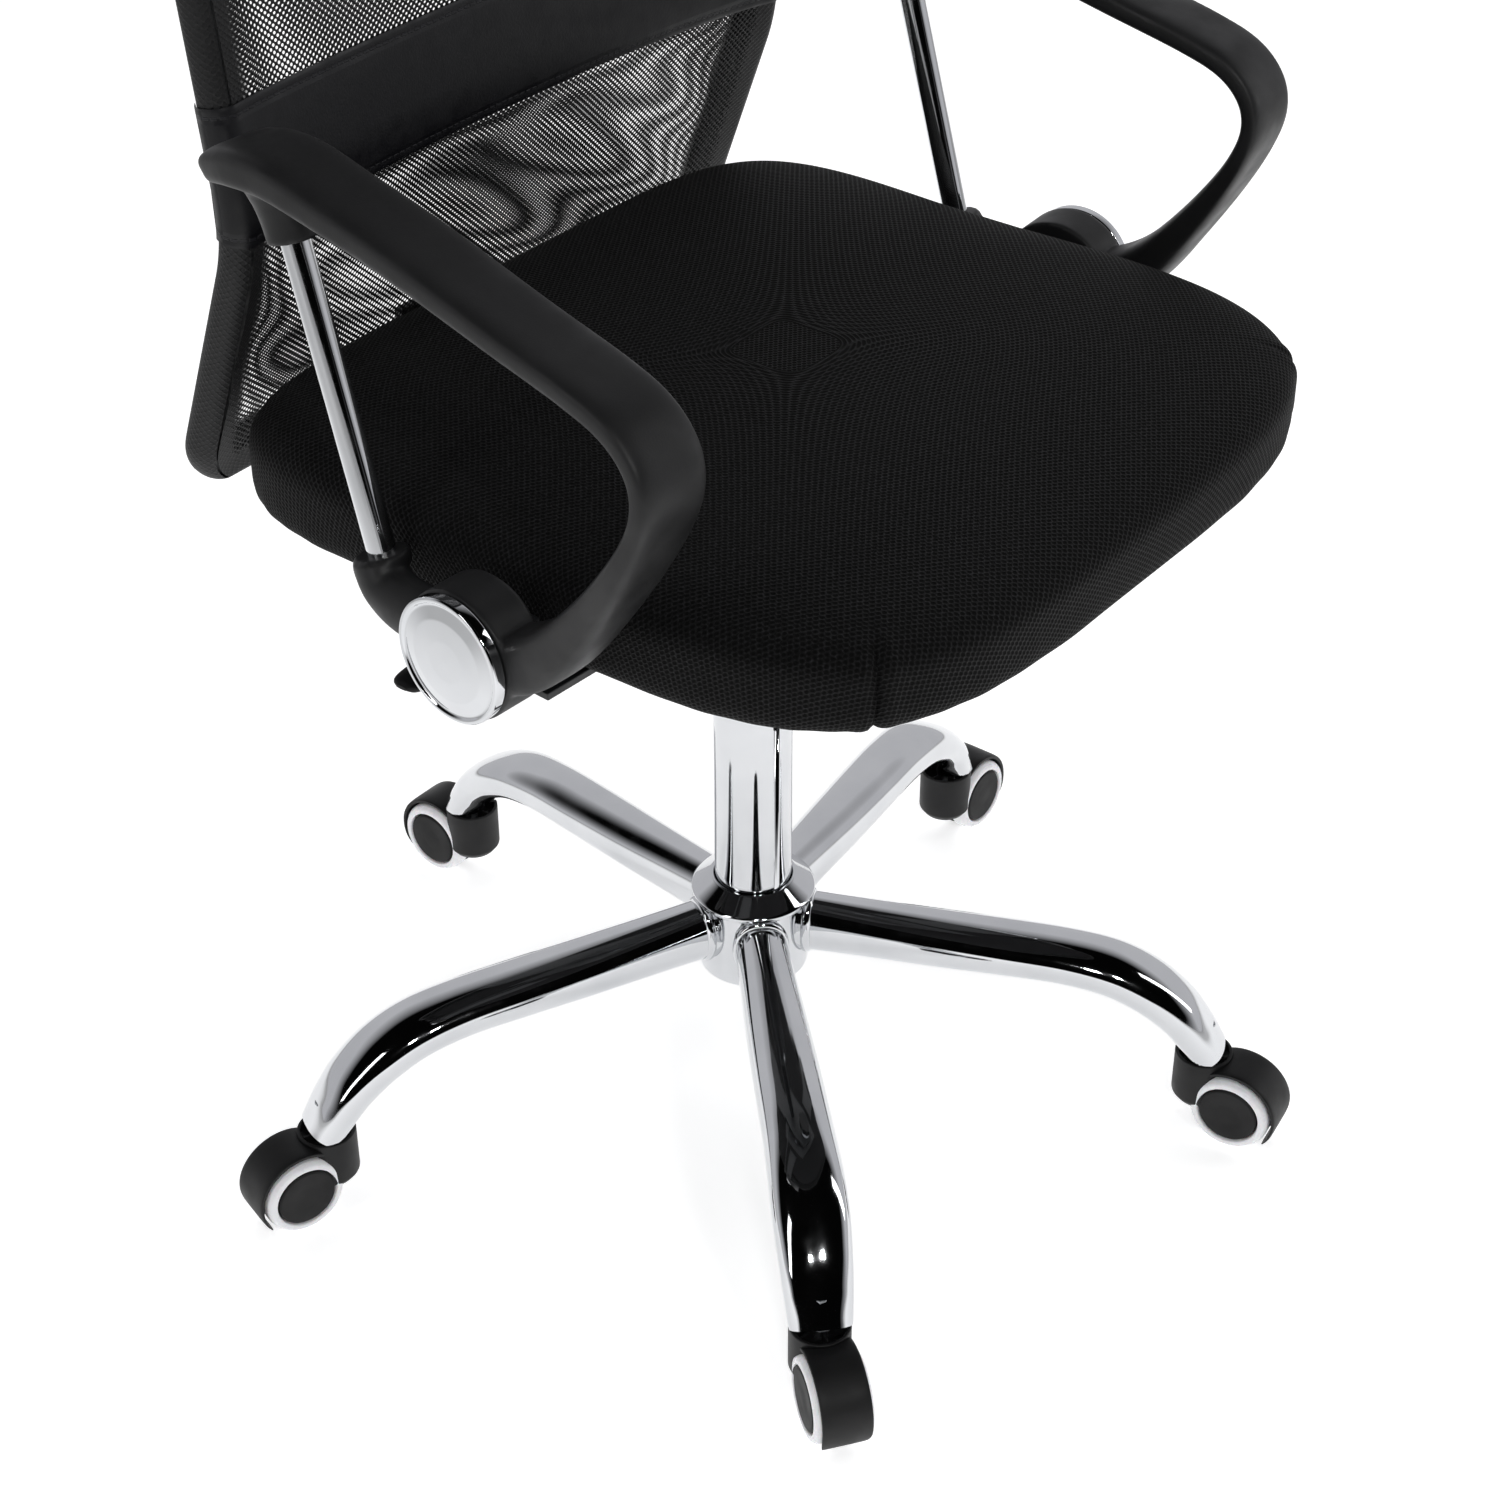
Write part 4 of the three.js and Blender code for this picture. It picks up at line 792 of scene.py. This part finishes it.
def outer_half(length, radius):
    """Half width of the frame's outline, grown by radius, at a length along the back."""
    bend = np.where(length < BACK_LENGTH / 2, FOOT_BEND, HEAD_BEND)
    past = np.maximum(0, bend - np.minimum(length, BACK_LENGTH - length))
    return BACK_HALF - bend + np.sqrt(np.maximum(0, (bend + radius) ** 2 - past**2))


def sag(x, length):
    """How far the stretched cover stands behind the frame's bend in mid-span."""
    across = 1 - np.clip(np.abs(x) / BACK_HALF, 0, 1) ** 2
    return 13 * across * np.exp(-(((length - LOWER) / 110) ** 2))


def slimmed(gap):
    """Share of its half thickness that the cover keeps at a gap inside the tube. It falls
    from 1 at the tube to 0.58 in the open, by an exponential over 30 mm."""
    return 1 - 0.42 * (1 - np.exp(-gap / 30))


def cover_loop(length, radius, panel, turn):
    """Loops of the cover round the frame, at lengths along the back: the front panel, half
    round one side tube, the rear panel and half round the other. At the rails the loop
    flattens as the tube's section does. Returns x, length and out."""
    length = length[:, None]
    beyond = np.maximum(0, np.maximum(-length, length - BACK_LENGTH))
    thick = np.sqrt(np.maximum(0, radius**2 - beyond**2))
    half = outer_half(length, radius)
    inner = np.maximum(half - radius, 1)
    share = np.linspace(-1, 1, panel)[None, :]
    bow = np.radians(np.linspace(-90, 90, turn))[None, 1:-1]
    flat_x = inner * share
    gap = np.minimum(inner - np.abs(flat_x), np.minimum(length + 4, BACK_LENGTH + 4 - length))
    slim = slimmed(np.maximum(gap, 0))
    pull = sag(flat_x, length)
    ripple = 0.5 * np.sin(flat_x / 17 + length / 11) * np.exp(-(((length - 85) / 70) ** 2))
    front = -thick * slim + pull + ripple
    rear = (thick * slim + pull - ripple)[:, ::-1]
    x = np.concatenate(
        [flat_x, inner + radius * np.cos(bow), -flat_x, -inner - radius * np.cos(bow)], axis=1
    )
    out = np.concatenate([front, thick * np.sin(bow), rear, -thick * np.sin(bow)], axis=1)
    return x, length + 0 * x, out


def back_cover():
    """The net over the frame, as loops from rail to rail. Its hem attribute is 1 round the
    tubes, where the cover is doubled, and falls to 0 within 2 mm inside them."""
    quarter = np.linspace(0, math.pi / 2, 10)
    span = np.linspace(4, BACK_LENGTH - 4, 230)
    below, above = -COVER_R * np.cos(quarter), BACK_LENGTH + COVER_R * np.sin(quarter)
    x, rows, out = cover_loop(np.concatenate([below, span, above]), COVER_R, 110, 20)
    points = back_point(x, rows, out)
    mid = points[len(points) // 2]
    reach = np.concatenate([[0], np.cumsum(np.linalg.norm(np.diff(mid, axis=0), axis=-1))])
    flat = np.stack(np.broadcast_arrays(reach[None, :], rows), axis=-1) * 0.001
    cloth = [skin(points, flat, around=False)]
    net = build("back_cover", cloth, NET, "seat", ["back_mesh"], 180)
    rim = np.minimum(outer_half(rows, 0) - np.abs(x), np.minimum(rows, BACK_LENGTH - rows))
    hem = net.data.attributes.new("hem", "FLOAT", "POINT")
    doubled = np.clip((COVER_R + 3 - rim) / 2, 0, 1).ravel()
    hem.data.foreach_set("value", np.resize(doubled, len(net.data.vertices)).astype(np.float32))


back_cover()


def leather_band(low, high, puff, lift, wrap):
    """A leather band across the front of the cover and round both side tubes: a closed slab
    that follows the cover, with edges rounded over its thickness and a middle puffed out."""
    front_share, wrap_share = 0.93, 0.07  # parts of the width before and round the tubes
    across = np.linspace(-1, 1, 150)
    along = np.linspace(0, 1, 40)
    face = COVER_R + lift
    length = (low + (high - low) * along)[:, None]
    inner = outer_half(length, 0)
    past = np.clip((np.abs(across) - front_share) / wrap_share, 0, 1)
    bow = past[None, :] * math.radians(wrap)
    flat_x = np.clip(across / front_share, -1, 1)[None, :] * inner
    x = flat_x + np.sign(across)[None, :] * face * np.sin(bow)
    gap = inner - np.abs(flat_x)
    slim = slimmed(gap)
    swell = puff * np.sin(math.pi * along)[:, None] ** 0.5 * np.clip(gap / 40, 0, 1)
    thinned = (COVER_R * slim + lift + 0.6) / face
    out = -face * np.cos(bow) * thinned + sag(flat_x, length)
    inset = 1.2 * np.sin(math.pi * along)[:, None] ** 0.3
    front = back_point(x + 0 * length, length + 0 * x, out - swell - inset)
    back = back_point(x + 0 * length, length + 0 * x, out + 0.5 + 0 * length)
    loop = np.concatenate([front, back[::-1]])
    reach = np.cumsum(np.concatenate([[0], np.linalg.norm(np.diff(front[20], axis=0), axis=-1)]))
    rows = np.concatenate([length[:, 0], length[::-1, 0], length[:1, 0]])
    flat = np.stack(np.broadcast_arrays(reach[:, None], rows[None, :]), axis=-1) * 0.001
    return skin(loop.transpose(1, 0, 2), flat)


strip = leather_band(173, 249, 0.6, 0.9, 150)
lumbar = build("lumbar_band", [strip], STRIP_LEATHER, "seat", ["lumbar_strip"], 60)
bolster = leather_band(510, 650, 13, 0.9, 150)
pad = build("head_cushion", [bolster], PAD_LEATHER, "seat", ["head_pad"], 60)

# ---------- armrests ----------

ARM_ROWS = [
    (141, 703, 6, 4, 0),
    (139, 708, 22, 10, 0),
    (131, 714, 36, 17, 0),
    (112, 720.5, 44, 22, 0),
    (84, 722, 46, 22, 0),
    (45, 715, 46, 19, 0),
    (0, 706, 46, 17, 0),
    (-70, 688, 46, 15, 0),
    (-122, 675, 46, 14.5, 0),
    (-148, 665, 46, 14, 0),
    (-163, 650, 46, 13, 0),
    (-167, 632, 46, 12.5, 0),
    (-161, 611, 46, 13, 0),
    (-146, 584, 45, 16, 1),
    (-123, 551, 41, 21, 2),
    (-98, 521, 35, 28, 5),
    (-72, 503, 28, 34, 7),
    (-45, 497, 26, 36, 7),
]
REST_FOOT = np.array([40.0, 518.0])
REST_HEAD = np.array([86.0, 684.0])
REST_ALONG = (REST_HEAD - REST_FOOT) / np.linalg.norm(REST_HEAD - REST_FOOT)


def on_rest(point, step):
    """A point on the strut's line, step beyond a given one, as x, y and z in the plane."""
    y, z = point + REST_ALONG * step
    return np.array([0, y, z])


def from_plane(points, side):
    """Points in an armrest's own plane, put into the chair: the plane is turned out a little."""
    shifted = points - np.array([0, LOOP_Y, 0])
    return turned_about_z(shifted, side * math.radians(LOOP_TOE), (side * LOOP_X, LOOP_Y, 0))


def arm_sweep(rows, side, power, count):
    """A band along rows of y, z, width, depth and how far out its middle stands."""
    rows = spline(rows, count)
    path = np.stack([side * rows[:, 4], rows[:, 0], rows[:, 1]], axis=-1)
    return sweep(path, rows[:, 2], rows[:, 3], (1, 0, 0), 56, power)


def hub_turned(profile, side):
    """A profile of radius and outward distance turned about the hub's axis."""
    return axes(turned(profile, 96), (0, 1, 0), (0, 0, side), (side, 0, 0), (0, HUB_Y, HUB_Z))


def arm_parts(side):
    """The moulded armrest before its joins are blended: band, hub, elbow and socket."""
    mouth, turn = on_rest(REST_FOOT, -1), on_rest(REST_FOOT, -7)
    elbow = [
        (mouth[1], mouth[2], 28.8, 28.8, 2),
        (turn[1], turn[2], 28.6, 29, 3),
        (turn[1] - 8, turn[2] - 8, 28, 29, 5),
        (turn[1] - 25, turn[2] - 12, 27, 33, 7),
        (HUB_Y + 14, HUB_Z + 1, 26, 38, 7),
    ]
    hub = rounded([(0.01, -6.6), (37, -6.6), (37, 21.7), (0.01, 21.7)], 1.5)
    socket = bar(on_rest(REST_HEAD, 0.3), on_rest(REST_HEAD, 34), [14.1, 14.3, 14.8, 15.8, 17.6, 20])
    lip = bar(on_rest(REST_FOOT, -7), on_rest(REST_FOOT, 1), [14.6, 14.9, 14.9, 14.4])
    return [
        arm_sweep(ARM_ROWS, side, 4.6, 260),
        hub_turned(hub, side),
        arm_sweep(elbow, side, 2.2, 60),
        socket,
        lip,
    ]


for side, word in ((1, "left"), (-1, "right")):
    parts = [skin(from_plane(part, side)) for part in arm_parts(side)]
    fused(f"arm_{word}", parts, 1.2, 4, ARM_PLASTIC, "seat", [f"armrest_{word}"])
    strut = from_plane(bar(on_rest(REST_FOOT, -3), on_rest(REST_HEAD, 3), [8] * 24, 56), side)
    build(f"arm_strut_{word}", [skin(strut)], CHROME, "seat", [f"armrest_tube_{word}"])
    rim = [(0.01, 22.3), (36, 22.3), (36, 28.4), (35.2, 29.3), (33.4, 29.3), (32.4, 28.2)]
    dome = [(31.4, 28.0), (24, 29.6), (12, 30.3), (0.01, 30.5)]
    cap = from_plane(hub_turned(rounded(rim + dome, 0.9), side), side)
    build(f"arm_badge_{word}", [skin(cap)], CHROME, "seat", [f"armrest_cap_{word}"], 50)

# ---------- carried-over steel and plywood ----------


def softened(node, material, width):
    """A CAD node with its own material, and its folded edges broken by a small bevel."""
    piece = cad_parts[node]
    piece.data.materials.clear()
    piece.data.materials.append(material)
    weld = piece.modifiers.new("weld", "WELD")
    weld.merge_threshold = 0.00001
    bevel = piece.modifiers.new("edge", "BEVEL")
    bevel.width = width * 0.001
    bevel.segments = 2
    bevel.limit_method = "ANGLE"
    bevel.angle_limit = math.radians(40)
    bevel.harden_normals = False


folded = ["tilt_housing", "seat_plate", "back_bracket", "armrest_stay_left", "armrest_stay_right"]
for node in folded:
    softened(node, BLACK_STEEL, 0.7)
softened("seat_pan", DUST_CLOTH, 1.0)
softened("back_frame", BLACK_STEEL, 0.1)
small = ["retaining_clip", "piston_rod", "tilt_pivot_pin", "lever_pin"]
for node in small + [f"caster_stem_{k + 1}" for k in range(CASTERS)]:
    softened(node, ZINC, 0.3)

# ---------- stage ----------


def stage_floor():
    """A pale, matt white floor with painted light: its emission is a painted glow, brightest behind the
    chair, and its base colour greys as painted shade where the glow fades.
    Both fade sideways and to the front, along two fixed directions of the room, which are the camera's
    sideways and forward directions in plan."""
    sideways, ahead = (0.616, -0.788, 0), (0.788, 0.616, 0)
    made, tree, shader = started("pale_floor_painted_glow", "#f4f4f4", 0.9, Specular_IOR_Level=0.1)
    shader.inputs["Emission Color"].default_value = linear("#ffffff")
    where = add(tree, "TexCoord").outputs["Object"]
    sides = []
    for way in (sideways, ahead):
        along = add(tree, "VectorMath", operation="DOT_PRODUCT", _0=where, _1=way)
        sides.append(along.outputs["Value"])
    across = add(tree, "Math", operation="ABSOLUTE", _0=sides[0]).outputs[0]
    nearer = add(tree, "Math", operation="MULTIPLY", _0=sides[1], _1=-0.27).outputs[0]
    off = add(tree, "Math", operation="ADD", _0=across, _1=nearer).outputs[0]
    # painted light: the floor's emission strength is a painted glow that fades away from behind the chair
    glow = ranged(tree, off, 0.52, 0.26, 0.75, 1.6)
    tree.links.new(glow, shader.inputs["Emission Strength"])
    # painted shade: the base colour greys from #f6f6f6 to #bcbcbc where the painted glow fades
    shade = ranged(tree, off, 0.0, 1.0, 0.75, 1.8)
    tree.links.new(mixed(tree, shade, "#f6f6f6", "#bcbcbc"), shader.inputs["Base Color"])
    span = np.linspace(-6000, 6000, 3)
    x, y = np.meshgrid(span, span)
    grid = np.stack([x, y, 0 * x - 0.5], axis=-1)
    mesh = mesh_of("floor", [skin(grid, around=False)])
    floor = bpy.data.objects.new("floor", mesh)
    mesh.materials.append(made)
    bpy.context.scene.collection.objects.link(floor)


def area_light(name, at, aim, size, power):
    """A square or oblong soft light at a place, turned to its aim."""
    light = bpy.data.lights.new(name, "AREA")
    light.shape = "RECTANGLE"
    light.size, light.size_y = size
    light.energy = power
    lamp = bpy.data.objects.new(name, light)
    lamp.location = at
    lamp.rotation_euler = (Vector(aim) - Vector(at)).to_track_quat("-Z", "Y").to_euler()
    bpy.context.scene.collection.objects.link(lamp)
    return lamp


stage_floor()
overhead = area_light("overhead_softbox", (0.5, 0.4, 3.6), (0, 0, 0.3), (5.5, 5.5), 105)
overhead.visible_glossy = False  # flagged off from the chrome, which sees the dark ceiling
area_light("left_strip", (-2.9, 0.6, 1.7), (0, 0, 0.5), (0.5, 2.4), 14)
area_light("right_strip", (2.4, -2.3, 1.9), (0, 0, 0.5), (0.5, 2.4), 14)
area_light("front_lamp_left", (-2.2, -2.0, 2.4), (0, 0, 0.4), (0.25, 0.25), 16)
area_light("front_lamp_right", (-1.5, -2.5, 2.4), (0, 0, 0.4), (0.25, 0.25), 16)

world = bpy.data.worlds.new("studio")
world.use_nodes = True
bpy.context.scene.world = world
sky = world.node_tree
background = sky.nodes["Background"]
ray = add(sky, "TexCoord").outputs["Generated"]
dark_side = (-0.42, -0.33, 0.85)  # ceiling and the studio before the chair are dark
facing = add(sky, "VectorMath", operation="DOT_PRODUCT", _0=ray, _1=dark_side).outputs["Value"]
share = ranged(sky, facing, 1.0, 0.0, 0.12, 0.42)
sky.links.new(mixed(sky, share, "#050505", "#cfcfd2"), background.inputs["Color"])
background.inputs["Strength"].default_value = 1.0

bpy.context.scene.view_settings.view_transform = "Standard"

camera = bpy.data.objects.new("camera", bpy.data.cameras.new("camera"))
camera.data.sensor_width = 36
camera.data.lens = 69.4
camera.data.clip_start, camera.data.clip_end = 0.05, 60
sight = Vector((0.6451, 0.5040, -0.5742))
turn = sight.to_track_quat("-Z", "Y").to_matrix() @ Matrix.Rotation(math.radians(-0.18), 3, "Z")
camera.matrix_world = Matrix.Translation((-1.1771, -0.9173, 1.3077)) @ turn.to_4x4()
bpy.context.scene.collection.objects.link(camera)
bpy.context.scene.camera = camera
